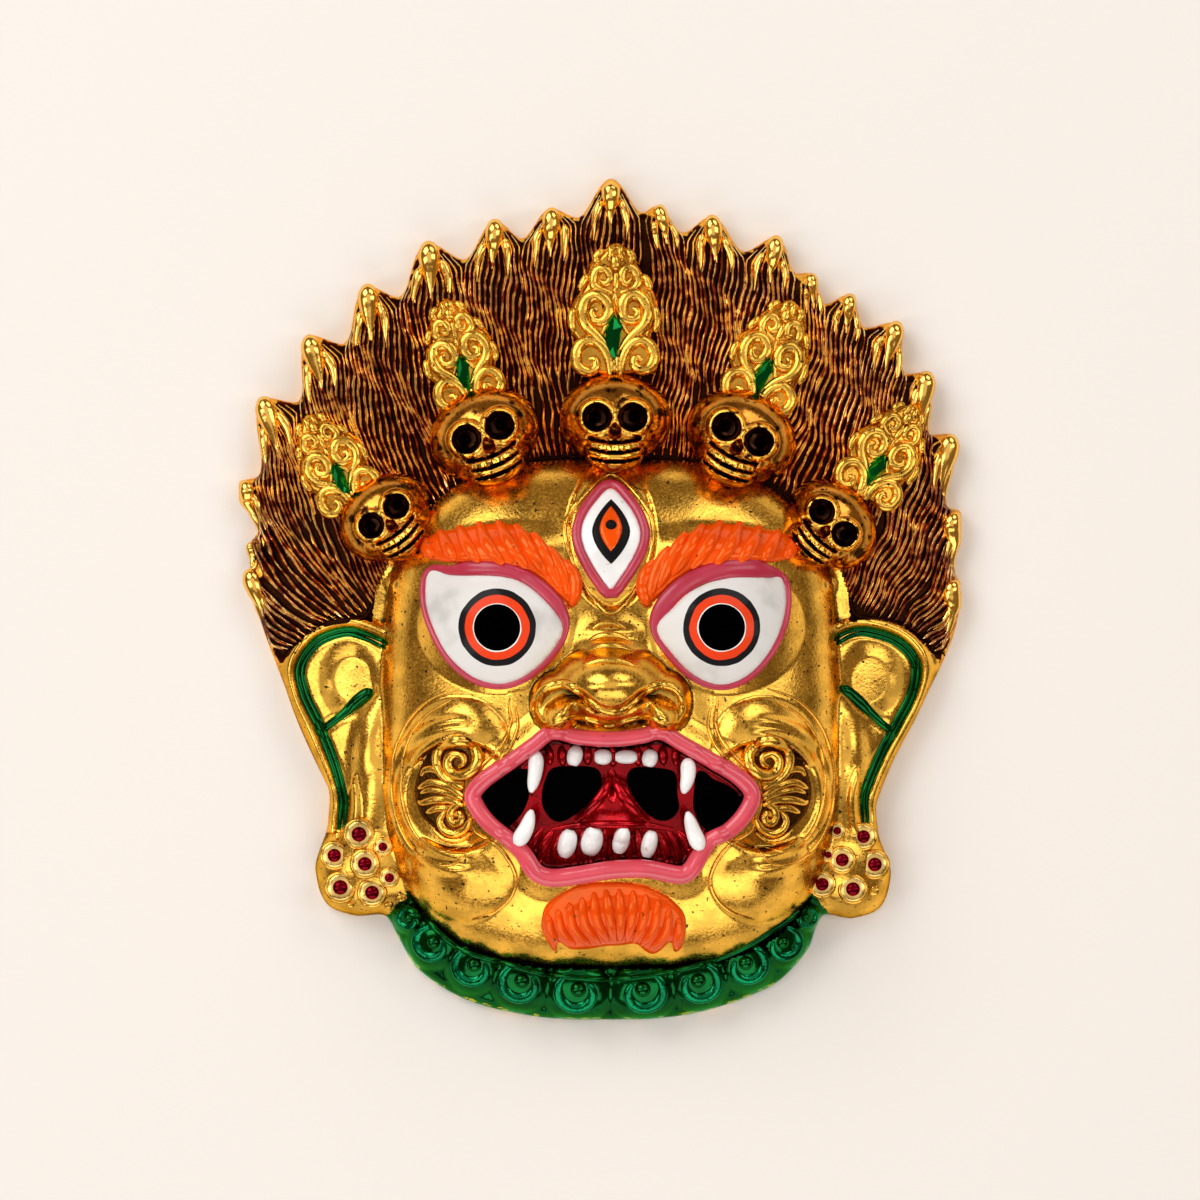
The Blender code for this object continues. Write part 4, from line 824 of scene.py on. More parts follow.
        # Painted shade: each front point's depth below its surroundings, stored as 'hollow' for the finishes to darken.
        hollow = np.concatenate((self.heights.at(front, self.hollow_shade_grid), np.zeros(len(rear))))
        mesh.attributes.new("hollow", "FLOAT", "POINT").data.foreach_set("value", hollow)
        near = np.min([np.hypot(*(spots[:, :2] - tip).T) for tip in TIPS], axis=0)
        degrees = np.degrees(np.arctan2(spots[:, 1], spots[:, 0]))
        rim = Plan.radius(degrees) - np.hypot(spots[:, 0], spots[:, 1])
        bare = np.maximum(ramp(-near, -4.5, -2.5), 0.75 * ramp(-rim, -1.5, -0.5))
        mesh.attributes.new("bare", "FLOAT", "POINT").data.foreach_set("value", bare)
        built = bmesh.new()
        built.from_mesh(mesh)
        bmesh.ops.delete(built, geom=[vert for vert in built.verts if not vert.link_faces], context="VERTS")
        bmesh.ops.recalc_face_normals(built, faces=built.faces)
        built.to_mesh(mesh)
        built.free()
        piece = self.finish_piece(name, mesh, finishes)
        if region is not None:
            index = np.full(len(faces), len(finishes) - 1)
            index[: len(rows)] = region(front[rows].mean(axis=1))
            outer = len(rows) + len(rear_rows) + np.arange(2 * len(loops[0]))
            index[outer] = region(np.repeat(loops[0], 2, axis=0) * 0.995)
            mesh.polygons.foreach_set("material_index", index)
            mesh.update()
        return piece

    def coat(
        self, name: str, loop: Array, rise: float, edge: float, finish: Finish, step: float = 0.5,
        holes: Sequence[Array] = (), foot: float = 0.0,
    ) -> bpy.types.Object:
        """Lay a rounded coat on the casting inside a loop.

        Args:
            name: The piece's name.
            loop: The coat's edge on the plan.
            rise: How far it stands up.
            edge: How far in from the edge it reaches its full height.
            finish: Its finish.
            step: Distance between its points.
            holes: Loops left open.
            foot: How far its edge stands up.

        Returns:
            The piece.
        """
        def top(u: Array, v: Array) -> Array:
            share = np.clip(depth_in(u, v, loop) / edge, 0.0, 1.0)
            return self.heights.at(np.stack((u, v), -1)) + foot + (rise - foot) * np.sqrt(1 - (1 - share) ** 2)

        def bottom(u: Array, v: Array) -> Array:
            return self.heights.at(np.stack((u, v), -1)) - 0.6

        return self.relief_piece(name, [loop, *holes], top, bottom, (finish,), step, (), 2.0)

    @staticmethod
    def sweep_group() -> bpy.types.NodeTree:
        """The Geometry Nodes tree that sweeps a flattened round profile along every path of a mesh."""
        tree = bpy.data.node_groups.new("swept_form", "GeometryNodeTree")
        face = tree.interface
        face.new_socket("Paths", in_out="INPUT", socket_type="NodeSocketGeometry")
        for label, kind in (("Sides", "NodeSocketInt"), ("Flatness", "NodeSocketFloat"), ("Turn", "NodeSocketFloat"),
                            ("Finish", "NodeSocketMaterial")):
            face.new_socket(label, in_out="INPUT", socket_type=kind)
        face.new_socket("Form", in_out="OUTPUT", socket_type="NodeSocketGeometry")
        n = Nodes(tree)
        start, end = n.add("NodeGroupInput"), n.add("NodeGroupOutput")
        width = n.add("GeometryNodeInputNamedAttribute", {"data_type": "FLOAT"}, Name="half_width")
        paths = n.add("GeometryNodeMeshToCurve", None, Mesh=start.outputs["Paths"])
        upright = n.add("GeometryNodeSetCurveNormal", {"mode": "Z_UP"}, Curve=paths.outputs[0])
        ring = n.add("GeometryNodeCurvePrimitiveCircle", None, Resolution=start.outputs["Sides"], Radius=1.0)
        turn = n.add("ShaderNodeCombineXYZ", None, Z=start.outputs["Turn"])
        turned = n.add("GeometryNodeTransform", None, Geometry=ring.outputs[0], Rotation=turn.outputs[0])
        place = n.add("GeometryNodeInputPosition")
        parts = n.add("ShaderNodeSeparateXYZ", None, Vector=place.outputs[0])
        upward = n.add("ShaderNodeMath", {"operation": "MULTIPLY"}, _0=parts.outputs[1], _1=-1.0)
        marked = n.add("GeometryNodeStoreNamedAttribute", {"data_type": "FLOAT", "domain": "POINT"},
                       Geometry=turned.outputs[0], Name="crest", Value=upward.outputs[0])
        stretch = n.add("ShaderNodeCombineXYZ", None, X=1.0, Y=start.outputs["Flatness"], Z=1.0)
        flat = n.add("GeometryNodeTransform", None, Geometry=marked.outputs[0], Scale=stretch.outputs[0])
        swept = n.add("GeometryNodeCurveToMesh", None, Curve=upright.outputs[0], Profile_Curve=flat.outputs[0],
                      Scale=width.outputs[0], Fill_Caps=True)
        real = n.add("GeometryNodeRealizeInstances", None, Geometry=swept.outputs[0])
        done = n.add("GeometryNodeSetMaterial", None, Geometry=real.outputs[0], Material=start.outputs["Finish"])
        n.feed(end, 0, done.outputs[0])
        return tree

    def sweep(self, name: str, strips: Sequence[Strip], finish: Finish, sides: int = 8, flatness: float = 0.8) -> bpy.types.Object:
        """Sweep forms along strips with the Geometry Nodes tree and keep the result as one piece."""
        spots, edges, widths, bare = [], [], [], []
        first = 0
        for strip in strips:
            count = len(strip.points)
            spots.append(strip.points)
            widths.append(np.broadcast_to(strip.half_widths, count))
            bare.append(np.broadcast_to(strip.bare, count))
            edges += [(first + i, first + i + 1) for i in range(count - 1)]
            if strip.closed:
                edges.append((first + count - 1, first))
            first += count
        mesh = bpy.data.meshes.new(name)
        mesh.from_pydata(self.place(np.vstack(spots)).tolist(), edges, [])
        for label, values in (("half_width", np.concatenate(widths) / 1000), ("bare", np.concatenate(bare))):
            mesh.attributes.new(label, "FLOAT", "POINT").data.foreach_set("value", values)
        paths = bpy.data.objects.new(name + "_paths", mesh)
        bpy.context.scene.collection.objects.link(paths)
        modifier = paths.modifiers.new("sweep", "NODES")
        modifier.node_group = self.group
        values = {"Sides": sides, "Flatness": flatness, "Turn": math.radians(270 % (360 / sides)),
                  "Finish": finish.material()}
        for item in self.group.interface.items_tree:
            if item.name in values:
                modifier[item.identifier] = values[item.name]
        evaluated = paths.evaluated_get(bpy.context.evaluated_depsgraph_get())
        swept = bpy.data.meshes.new_from_object(evaluated)
        bpy.data.objects.remove(paths)
        swept.materials.clear()
        built = bmesh.new()
        built.from_mesh(swept)
        bmesh.ops.recalc_face_normals(built, faces=built.faces)
        built.to_mesh(swept)
        built.free()
        return self.finish_piece(name, swept, (finish,))

    def bead(self, plan: Sequence[float], radius: float, lift: float = 0.0, tall: float = 1.0) -> Strip:
        """A round bead, as a short upright strip."""
        turn = np.linspace(-math.pi / 2, math.pi / 2, 9)
        level = self.on(np.array([plan]))[0, 2] + lift
        x = np.zeros(9)
        points = np.column_stack((plan[0] + radius * np.sin(turn), plan[1] + x, level + x))
        return Strip(points, np.maximum(radius * np.cos(turn), 0.02))


def taper(count: int, width: float, start: float = 0.25, end: float = 0.25, power: float = 0.5) -> Array:
    """Half widths that swell to width in the middle, and to a share of it at each end."""
    t = np.linspace(0, 1, count)
    body = np.clip(4 * t * (1 - t), 0, 1) ** power
    ends = start * (1 - t) + end * t
    return width * np.maximum(body, ends)


@dataclass
class Casting:
    """The body of the mask: face, ears, plate and hollow back in one."""

    make: Maker

    def build(self) -> None:
        """Build the casting, with real holes for the pupils and the gaps in the mouth."""
        relief = self.make.relief
        turn = np.radians(np.arange(0, 360, 6))
        holes = []
        for place, radius in EYE_HOLES:
            middle = mm([place])[0]
            holes.append(middle + radius * PX * np.column_stack((np.cos(turn), np.sin(turn))))
        holes += [curve(mm(loop), 0.6, closed=True) for loop in MOUTH_HOLES]
        lips = curve(LIP_LINE, 0.7, closed=True)

        def fine(u: Array, v: Array) -> Array:
            """Whether the front wants close points there: the face, ears and collar."""
            return (Plan.face_share(u, v) < 1.03) | ~relief.in_hair(u, v)

        def region(middles: Array) -> Array:
            u, v = middles.T
            index = np.zeros(len(u), int)
            index[relief.in_hair(u, v) & (Plan.face_share(u, v) >= 1) & ~relief.temple(u, v)] = 1
            index[in_loop(middles, lips)] = 2
            degrees = np.degrees(np.arctan2(v, u)) % 360
            index[(degrees > 231) & (degrees < 308.5) & (Plan.face_share(u, v) >= 1)] = 3
            return index

        edge = np.radians(np.arange(0, 360.5, 0.5))
        radii = Plan.face_edge(np.degrees(edge) % 360)
        face_line = np.column_stack((radii * np.cos(edge), radii * np.sin(edge)))
        face_line[-1] = face_line[0]
        piece = self.make.relief_piece(
            "casting", [relief.outline] + holes, relief.front, relief.back,
            # The last finish paints the back and the walls of the holes near black as shade.
            (GILT, HAIR_BASE, MOUTH_RED, GREEN, INSIDE_SHADE),
            fine, (face_line[:-1], np.vstack((lips, lips[:1]))[:-1]), 2.6, region,
        )
        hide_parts(NODE)


@dataclass
class Hair:
    """The flaming hair: strands that run from the brow and ears and gather in each tip."""

    make: Maker
    gap: float = 1.36
    least: float = 0.95
    seed: int = 7

    def path(self, lock: int, share: float) -> Array:
        """Path of a strand of a lock on the plan, at that share of the way across it.

        Args:
            lock: Which tip it runs to.
            share: 0 at the lock's first notch and 1 at its second.

        Returns:
            Forty points from its root to its end.
        """
        root = ROOTS[lock] * (1 - share) + ROOTS[lock + 1] * share
        base = NOTCHES[lock] * (1 - share) + NOTCHES[lock + 1] * share
        tip = TIPS[lock]
        heading = tip - (NOTCHES[lock] + NOTCHES[lock + 1]) / 2
        heading = heading / np.hypot(*heading) * 0.5 + np.array((0.0, 0.6))
        heading /= np.hypot(*heading)
        base = base - heading * 2.4
        length = np.hypot(*(base - root))
        t = np.linspace(0, 1, 24)[:, None]
        hook = base - heading * 0.42 * length
        lean = root * 0.55 + hook * 0.45
        body = root * (1 - t) ** 3 + 3 * lean * t * (1 - t) ** 2 + 3 * hook * t * t * (1 - t) + base * t**3
        side = abs(2 * share - 1)
        spread = (share - 0.5) * (NOTCHES[lock + 1] - NOTCHES[lock])
        end = tip - heading * 0.9 + spread * 0.16
        end = end * (1 - 0.72 * side**2.2) + (base + heading * 0.6) * 0.72 * side**2.2
        knee = (base + end) / 2 + spread * 0.12 * (1 - side)
        fine = curve(np.vstack((body, knee, end)), 0.3)
        neck = int(np.argmin(np.linalg.norm(fine - base, axis=1)))
        pick = np.concatenate((np.linspace(0, neck, 29)[:-1], np.linspace(neck, len(fine) - 1, 12)))
        return fine[pick.round().astype(int)]

    def lock(self, number: int, rng: np.random.Generator) -> list[Strip]:
        """The strands of one lock, which start where there is room for them.

        Args:
            number: Which tip they run to.
            rng: Source of their small differences.

        Returns:
            Their strips.
        """
        count = max(3, round(np.hypot(*(NOTCHES[number + 1] - NOTCHES[number])) / self.gap))
        paths = [self.path(number, (i + 0.5) / count) for i in range(count)]
        room = np.min([np.linalg.norm(b - a, axis=1) for a, b in zip(paths[:-1], paths[1:])], axis=0)
        body = np.arange(40) < 27
        level = np.where(body, np.clip(np.ceil(np.log2(self.least / np.maximum(room, 0.02))), 0, 4), 0).astype(int)
        level = np.maximum.accumulate(level[::-1])[::-1]
        strips = []
        for i, path in enumerate(paths):
            rank = 0
            while (i + 1) % 2 ** (rank + 1) == 0 and rank < 4:
                rank += 1
            here = level <= rank
            if here.sum() < 5:
                continue
            first = int(np.argmax(here))
            kept = path[first:]
            gap = np.clip(room * 2.0**level, 0.3, 1.5)[first:]
            points = curve(kept, 1.15)
            run = np.linspace(0, 1, len(points))
            length = 1.15 * (len(points) - 1)
            ahead = np.gradient(points, axis=0)
            ahead /= np.linalg.norm(ahead, axis=1)[:, None]
            phase = points[:, 1] / 21.0 + 0.045 * points[:, 0] + 0.1 * number + rng.uniform(-0.03, 0.03)
            kinks = 0.16 * np.sin(2 * np.pi * (points[:, 1] / 7.3 + 0.13 * i)) + rng.uniform(-0.1, 0.1)
            sway = (0.62 * np.sin(2 * np.pi * phase) + kinks) * ramp(run, 0.0, 0.15) * ramp(-run, -0.95, -0.75)
            points = points + sway[:, None] * np.column_stack((-ahead[:, 1], ahead[:, 0]))
            widths = np.interp(run, np.linspace(0, 1, len(gap)), gap) * 0.5
            widths = np.clip(widths, 0.26, 0.7) * (0.4 + 0.6 * ramp(run * length, 0.0, 3.0 if first else 1.0))
            widths = np.maximum(widths * ramp(-run * length, -length - 0.6, -length + 2.5), 0.2)
            bare = 0.9 * ramp(run * length, length - 6.5, length - 2.0) + rng.uniform(-0.1, 0.1)
            points = self.kept_in(points, widths)
            strips.append(Strip(self.make.on(points, 0.12), widths, False, bare))
        return strips

    @staticmethod
    def kept_in(points: Array, widths: Array, over: float = 0.0) -> Array:
        """Points drawn in where their width would pass the outline by more than that."""
        reach = np.hypot(*points.T)
        most = Plan.radius(np.degrees(np.arctan2(points[:, 1], points[:, 0]))) - widths - 0.1 + over
        points = points * np.minimum(1.0, most / reach)[:, None]
        points[:, 0] = np.clip(points[:, 0], Plan.SIDES[0] + widths, Plan.SIDES[1] - widths)
        points[:, 1] = np.minimum(points[:, 1], 109.5 - widths)
        return points

    def tip(self, number: int) -> list[Strip]:
        """The bold gilt end of a lock, and two lesser ones beside it.

        Args:
            number: Which lock.

        Returns:
            Their strips.
        """
        strips = []
        size = np.clip(np.hypot(*(NOTCHES[number + 1] - NOTCHES[number])) / 14.0, 0.6, 1.25)
        for share, back, wide in ((0.5, 0.0, 2.1), (0.24, 3.0, 1.0), (0.76, 3.0, 1.0)):
            path = self.path(number, share)
            run = np.concatenate(([0.0], np.cumsum(np.linalg.norm(np.diff(path, axis=0), axis=1))))
            length = (8.5 if share == 0.5 else 7.5) * size + 2.0
            grow = 1 - (1 - np.linspace(0, 1, 18)) ** 1.7
            at = run[-1] - back - length * (1 - grow)
            end = np.column_stack([np.interp(at, run, path[:, i]) for i in (0, 1)])
            if share == 0.5:
                ahead = path[-1] - path[-4]
                end = end + grow[:, None] * 0.55 * ahead / np.hypot(*ahead)
            cap = np.sqrt(np.clip(1 - (np.clip(grow - 0.78, 0, None) / 0.22) ** 2, 0.02, 1))
            thick = wide * size * (0.25 + 0.75 * ramp(grow, 0, 0.75)) * cap
            end = self.kept_in(end, thick, 1.5 if share == 0.5 else 0.3)
            strips.append(Strip(self.make.on(end, 0.2 * grow), thick, False, ramp(grow, 0.15, 0.5) * 1.2))
        return strips

    def build(self) -> None:
        """Build the strands in two pieces."""
        rng = np.random.default_rng(self.seed)
        locks = [self.lock(number, rng) for number in range(len(TIPS))]
        border = []
        for arc in (((280, 660), (290, 646), (304, 634), (328, 624), (352, 620), (366, 617), (372, 604), (373, 580),
                     (378, 552)),
                    ((946, 656), (936, 646), (922, 635), (898, 623), (870, 619), (856, 616), (851, 604), (850, 580),
                     (845, 552))):
            path = curve(mm(arc), 1.0)
            border.append(Strip(self.make.on(path, -0.1), taper(len(path), 0.65, 0.4, 0.6, 0.3)))
        angle = np.radians(np.arange(28, 153, 0.8))
        reach = Plan.face_edge(np.degrees(angle)) + 0.2
        path = np.column_stack((reach * np.cos(angle), reach * np.sin(angle)))
        border.append(Strip(self.make.on(path, -0.15), 0.42))
        self.make.sweep("hair_border", border, HAIR_BASE, 8, 0.8)
        tips = [strip for number in range(len(TIPS)) for strip in self.tip(number)]
        self.make.sweep("hair_tips", tips, TIP, 16, 0.95)
        for name, part in (("hair_left", locks[:10]), ("hair_right", locks[10:])):
            piece = self.make.sweep(name, [strip for lock in part for strip in lock], STRAND, 6, 1.15)


SKULLS = (((385, 517), 38, 0.88), ((484, 434), 22.5, 1.0), ((615, 419), 0, 1.0), ((742, 436), -25, 1.0),
          ((832, 524), -45, 0.88))


@dataclass
class Skull:
    """One skull of the crown."""

    make: Maker
    name: str
    middle: Array
    tilt: float
    size: float

    RADIUS = 13.4
    TALL = 11.0
    LINES = (-5.9, -8.3, -10.4)

    def top(self, x: Array, y: Array) -> Array:
        """Height of the skull over its own flat base."""
        cranium = 12.6 * dome(np.hypot(x / self.RADIUS, (y + 0.2) / self.TALL)) ** 0.85
        cheek = 12.2 * dome(oval_share(np.abs(x), y, (5.4, -3.8), 4.8, 4.2)) ** 0.7
        muzzle = 15.0 * dome(np.hypot(x / 7.4, (y + 7.6) / 5.4)) ** 0.4
        head = smooth_max(smooth_max(cranium, cheek, 1.2), muzzle, 0.8) + 0.3 * np.clip(-y - 1.0, 0, None)
        for side in (-4.3, 4.2):
            socket = np.hypot(x - side, (y - 0.2) * 1.02)
            head = head + 1.3 * swell((socket - 3.85) / 1.1) - 6.5 * ramp(-socket, -3.5, -2.3)
            head = head + 1.3 * swell(np.hypot(x - side, y - 0.2) / 1.1)
        nose = np.maximum(np.abs(x) / 1.5, 0) + np.clip(y + 2.6, 0, None) / 1.8 + np.clip(-4.6 - y, 0, None) / 0.7
        head = head + 1.1 * swell(np.hypot(x / 2.6, (y + 3.2) / 3.4)) - 2.2 * ramp(-nose, -1.1, -0.4)
        across = ramp(-np.abs(x), -6.8, -5.6)
        for line in self.LINES:
            head = head - 1.7 * swell((y - line - 0.03 * x * x) / 0.62) * across
        return head - 0.45 * np.abs(np.cos(np.pi * x / 2.4)) ** 10 * across * swell((y + 7.3 - 0.03 * x * x) / 1.0)

    def build(self) -> None:
        """Build the skull with a flat base sunk in the plate."""
        turn = np.radians(np.arange(0, 360, 3))
        round_top = np.column_stack((self.RADIUS * np.cos(turn), self.TALL * np.sin(turn) - 0.2))
        reach = np.hypot(*round_top.T)
        angle = np.degrees(np.arctan2(round_top[:, 1], round_top[:, 0])) % 360
        order = np.argsort(angle)
        reach_at = np.interp(np.degrees(turn), angle[order], reach[order], period=360)
        jaw_reach = np.zeros(len(turn))
        for i, t in enumerate(turn):
            far = np.linspace(0, 14, 400)
            inside = np.hypot(far * math.cos(t) / 7.4, (far * math.sin(t) + 7.6) / 5.4) < 1
            jaw_reach[i] = far[inside].max() if inside.any() else 0.0
        both = np.maximum(reach_at, jaw_reach)
        loop = np.column_stack((both * np.cos(turn), both * np.sin(turn)))
        rings = [np.vstack((loop * share, loop[:1] * share))[:-1] for share in (0.995, 0.98, 0.95, 0.9)]
        level = min(float(self.make.heights.at(self.middle[None])[0]) - 0.4, 13.0)
        angle = math.radians(self.tilt)

        def shift(spots: Array) -> Array:
            x, y = spots[:, 0] * self.size, spots[:, 1] * self.size
            return np.column_stack((
                self.middle[0] + x * math.cos(angle) - y * math.sin(angle),
                self.middle[1] + x * math.sin(angle) + y * math.cos(angle), level + spots[:, 2] * self.size))

        piece = self.make.relief_piece(self.name, [loop], self.top, lambda x, y: np.full(x.shape, -2.0), (SKULL,), 0.34,
                                       rings, 2.5, None, shift)
        # Painted shade and highlight, stored as the skull's 'hollow' values: the sockets, the nose pit and the grooves
        # between the teeth are painted darker as shade, the outer part is pushed a little towards the shade, and the
        # orbit rims and jaw bands are painted bright gilt as highlight.
        spots = np.empty(len(piece.data.vertices) * 3)
        piece.data.vertices.foreach_get("co", spots)
        away = spots.reshape(-1, 3)[:, :2] * 1000 + self.make.middle - self.middle
        x = (away[:, 0] * math.cos(angle) + away[:, 1] * math.sin(angle)) / self.size
        y = (away[:, 1] * math.cos(angle) - away[:, 0] * math.sin(angle)) / self.size
        socket = np.minimum(np.hypot(x + 4.3, y - 0.2), np.hypot(x - 4.2, y - 0.2))
        lines = sum(1.5 * swell((y - line - 0.03 * x * x) / 0.6) for line in self.LINES)
        lines = lines - 0.9 * swell((y + 8.2 - 0.03 * x * x) / 4.0) * (lines < 0.1)
        values = 1.4 * ramp(-socket, -3.35, -3.05) + lines * ramp(-np.abs(x), -6.8, -5.6)
        values = values - 1.3 * swell((socket - 3.95) / 0.9)
        values = values + 1.2 * ramp(-np.hypot(x / 1.3, (y + 3.6) / 1.2), -1.0, -0.8)
        values = values + 0.35 * ramp(-np.hypot(x, y + 1.5), -14.0, -9.0) * -1 + 0.3
        piece.data.attributes["hollow"].data.foreach_set("value", values)


def local(points: Iterable[Sequence[float]], middle: Sequence[float], scale: float) -> Array:
    """Points read off an enlarged view, as steps right and up from its middle.

    Args:
        points: Pairs of across and down in the enlarged view.
        middle: The pair that becomes (0, 0).
        scale: Enlarged steps to one step of the photograph's frame.

    Returns:
        Pairs in millimetres.
    """
    places = np.asarray(list(points), float)
    return np.column_stack((places[:, 0] - middle[0], middle[1] - places[:, 1])) * PX / scale


def enlarged(points: Iterable[Sequence[float]], corner: Sequence[float], scale: float) -> Array:
    """Plan millimetres of points read off an enlarged view of the photograph.

    Args:
        points: Pairs of across and down in the enlarged view.
        corner: The frame place of the view's corner.
        scale: Enlarged steps to one step of the frame.

    Returns:
        Plan millimetres.
    """
    places = np.asarray(list(points), float)
    return mm(places / scale + np.asarray(corner, float))


def spiral(middle: Sequence[float], radius: float, turns: float, start: float, way: int = 1, inner: float = 0.2) -> Array:
    """Points of a scroll that winds in to its middle."""
    t = np.linspace(0, 1, max(8, int(18 * turns)))
    reach = radius * (1 - (1 - inner) * t**0.85)
    angle = math.radians(start) + way * 2 * math.pi * turns * t
    return np.column_stack((middle[0] + reach * np.cos(angle), middle[1] + reach * np.sin(angle)))


def grown(loop: Array, by: float) -> Array:
    """A closed loop moved outwards by a distance."""
    ahead = np.roll(loop, -1, axis=0) - np.roll(loop, 1, axis=0)
    ahead /= np.linalg.norm(ahead, axis=1)[:, None]
    out = np.column_stack((ahead[:, 1], -ahead[:, 0]))
    area = np.sum(loop[:, 0] * np.roll(loop[:, 1], -1) - loop[:, 1] * np.roll(loop[:, 0], -1))
    return loop + out * by * np.sign(area)


@dataclass
class Eyes:
    """The whites with their rings, the lids, and the eye in the brow."""

    make: Maker
    white_rise: float = 0.5

    def whites(self) -> None:
        """Lay the two whites round their real pupils."""
        turn = np.radians(np.arange(0, 360, 6))
        for side, line, (place, radius) in zip(("left", "right"), (LEFT_WHITE, RIGHT_WHITE), EYE_HOLES):
            middle = mm([place])[0]
            hole = middle + (radius * PX - 0.02) * np.column_stack((np.cos(turn), np.sin(turn)))
            loop = grown(curve(line, 0.7, closed=True), 0.25)
            centre = self.make.place(np.array([(*middle, 0.0)]))[0] * 1000
            finish = Finish("eye_enamel_" + side, Surface.EYE, (0.77, 0.765, 0.755), (0.55, 0.56, 0.58), 0.0, 0.22, 0.08,
                            0.3, (float(centre[0]), float(centre[1])))
            self.make.coat("eye_white_" + side, loop, self.white_rise, 0.8, finish, 0.55, (hole,))

    def lids(self) -> None:
        """Sweep the painted lids round the whites."""
        strips = []
        for line, most in ((LEFT_WHITE, 0.95), (RIGHT_WHITE, 1.5)):
            edge = curve(line, 0.9, closed=True)
            top = most * ramp(edge[:, 1], 1.0, 8.0) * ramp(-np.abs(edge[:, 0]), -41.5, -33.0)
            out = grown(edge, 1.0) - edge
            path = edge + out * (0.75 + 0.95 * top)[:, None]
            for _ in range(4):
                path = (np.roll(path, 1, axis=0) + path + np.roll(path, -1, axis=0)) / 3
            strips.append(Strip(self.make.on(path, 0.15), 0.85 + 1.05 * top, True))
        self.make.sweep("lids", strips, CRIMSON, 12, 0.5)

    def brow_eye(self) -> None:
        """Build the upright eye between the brows."""
        white = curve(THIRD_WHITE, 0.6, closed=True)
        self.make.coat("third_eye_white", grown(white, 0.2), 0.5, 0.8, WHITE, 0.5)
        rim = grown(curve(THIRD_WHITE, 0.8, closed=True), 1.2)
        self.make.sweep("third_eye_lid", [Strip(self.make.on(rim, 0.1), 1.25, True)], CRIMSON, 10, 0.65)
        frame = enlarged(((787, 130), (690, 210), (622, 300), (622, 390), (660, 490), (715, 585), (787, 650), (862, 585),
                          (915, 490), (940, 390), (938, 300), (880, 205)), (400, 440), 3.7333)
        ring = Strip(self.make.on(curve(frame, 0.8, closed=True), 0.0), 0.62, True)
        inner = enlarged(((655, 470), (690, 540), (735, 590), (787, 620), (840, 590), (880, 540), (905, 480)),
                         (400, 440), 3.7333)
        arc = curve(inner, 0.8)
        self.make.sweep("third_eye_frame", [ring, Strip(self.make.on(arc, 0.3), taper(len(arc), 0.4))], GILT, 8, 0.8)
        for name, box, finish, rise in (("third_iris", (592, 500, 630, 564.6), BLACK, 0.85),
                                        ("third_flame", (599.6, 507, 622, 552), ORANGE, 1.15)):
            x0, y0, x1, y1 = box
            half, up = (x1 - x0) / 2, (y1 - y0) / 2
            turn = np.linspace(0, 2 * np.pi, 48, endpoint=False)
            down = up * np.sin(turn)
            across = half * np.sign(np.cos(turn)) * (1 - np.abs(down / up) ** 1.7) ** 0.95
            loop = mm(np.column_stack(((x0 + x1) / 2 + across, (y0 + y1) / 2 + down)))
            self.make.coat(name, loop, rise, 0.5, finish, 0.5, (), rise - 0.28)
        self.make.sweep("third_pupil", [self.make.bead(mm([(611, 526)])[0], 1.35, 0.95)], BLACK, 14, 0.8)

    def build(self) -> None:
        """Build every part of the eyes."""
        self.whites()
        self.lids()
        self.brow_eye()


@dataclass
class Brows:
    """The enamelled brows, each a band of slanting ribs that curls in at the nose."""

    make: Maker
    BAND = ((75, 400), (95, 365), (150, 340), (230, 325), (310, 312), (390, 310), (450, 325), (510, 360), (560, 405),
            (600, 440), (640, 465), (662, 510), (668, 570), (655, 615), (625, 615), (590, 585), (550, 545),
            (510, 515), (450, 487), (380, 472), (300, 466), (220, 466), (150, 460), (100, 440))
    RIBS = (((95, 372), (105, 410), (130, 440)), ((150, 342), (180, 400), (212, 452)),
            ((222, 326), (252, 392), (300, 458)), ((296, 312), (328, 392), (388, 466)),
            ((368, 308), (408, 388), (476, 482)), ((434, 322), (480, 400), (548, 510)),
            ((498, 352), (546, 436), (600, 556)), ((556, 402), (604, 486), (632, 588)),
            ((612, 452), (650, 510), (656, 570), (640, 618)))

    def build(self) -> None:
        """Build both brows."""
        for side, sign in (("left", 1), ("right", -1)):
            def seen(points: Iterable[Sequence[float]]) -> Array:
                places = np.array(points, float)
                if sign < 0:
                    places[:, 0] = 1562 - places[:, 0]
                return enlarged(places, (400, 440), 3.7333)

            loop = curve(seen(self.BAND), 0.7, closed=True)
            self.make.coat("brow_" + side, grown(loop, -0.3), 1.5, 1.6, ORANGE, 0.6)
            strips = []
            for i, rib in enumerate(self.RIBS):
                path = curve(seen(rib), 0.8)
                strips.append(Strip(self.make.on(path, 1.3), taper(len(path), 1.65, 0.45, 0.3, 0.35)))
            self.make.sweep("brow_ribs_" + side, strips, ORANGE, 12, 0.8)


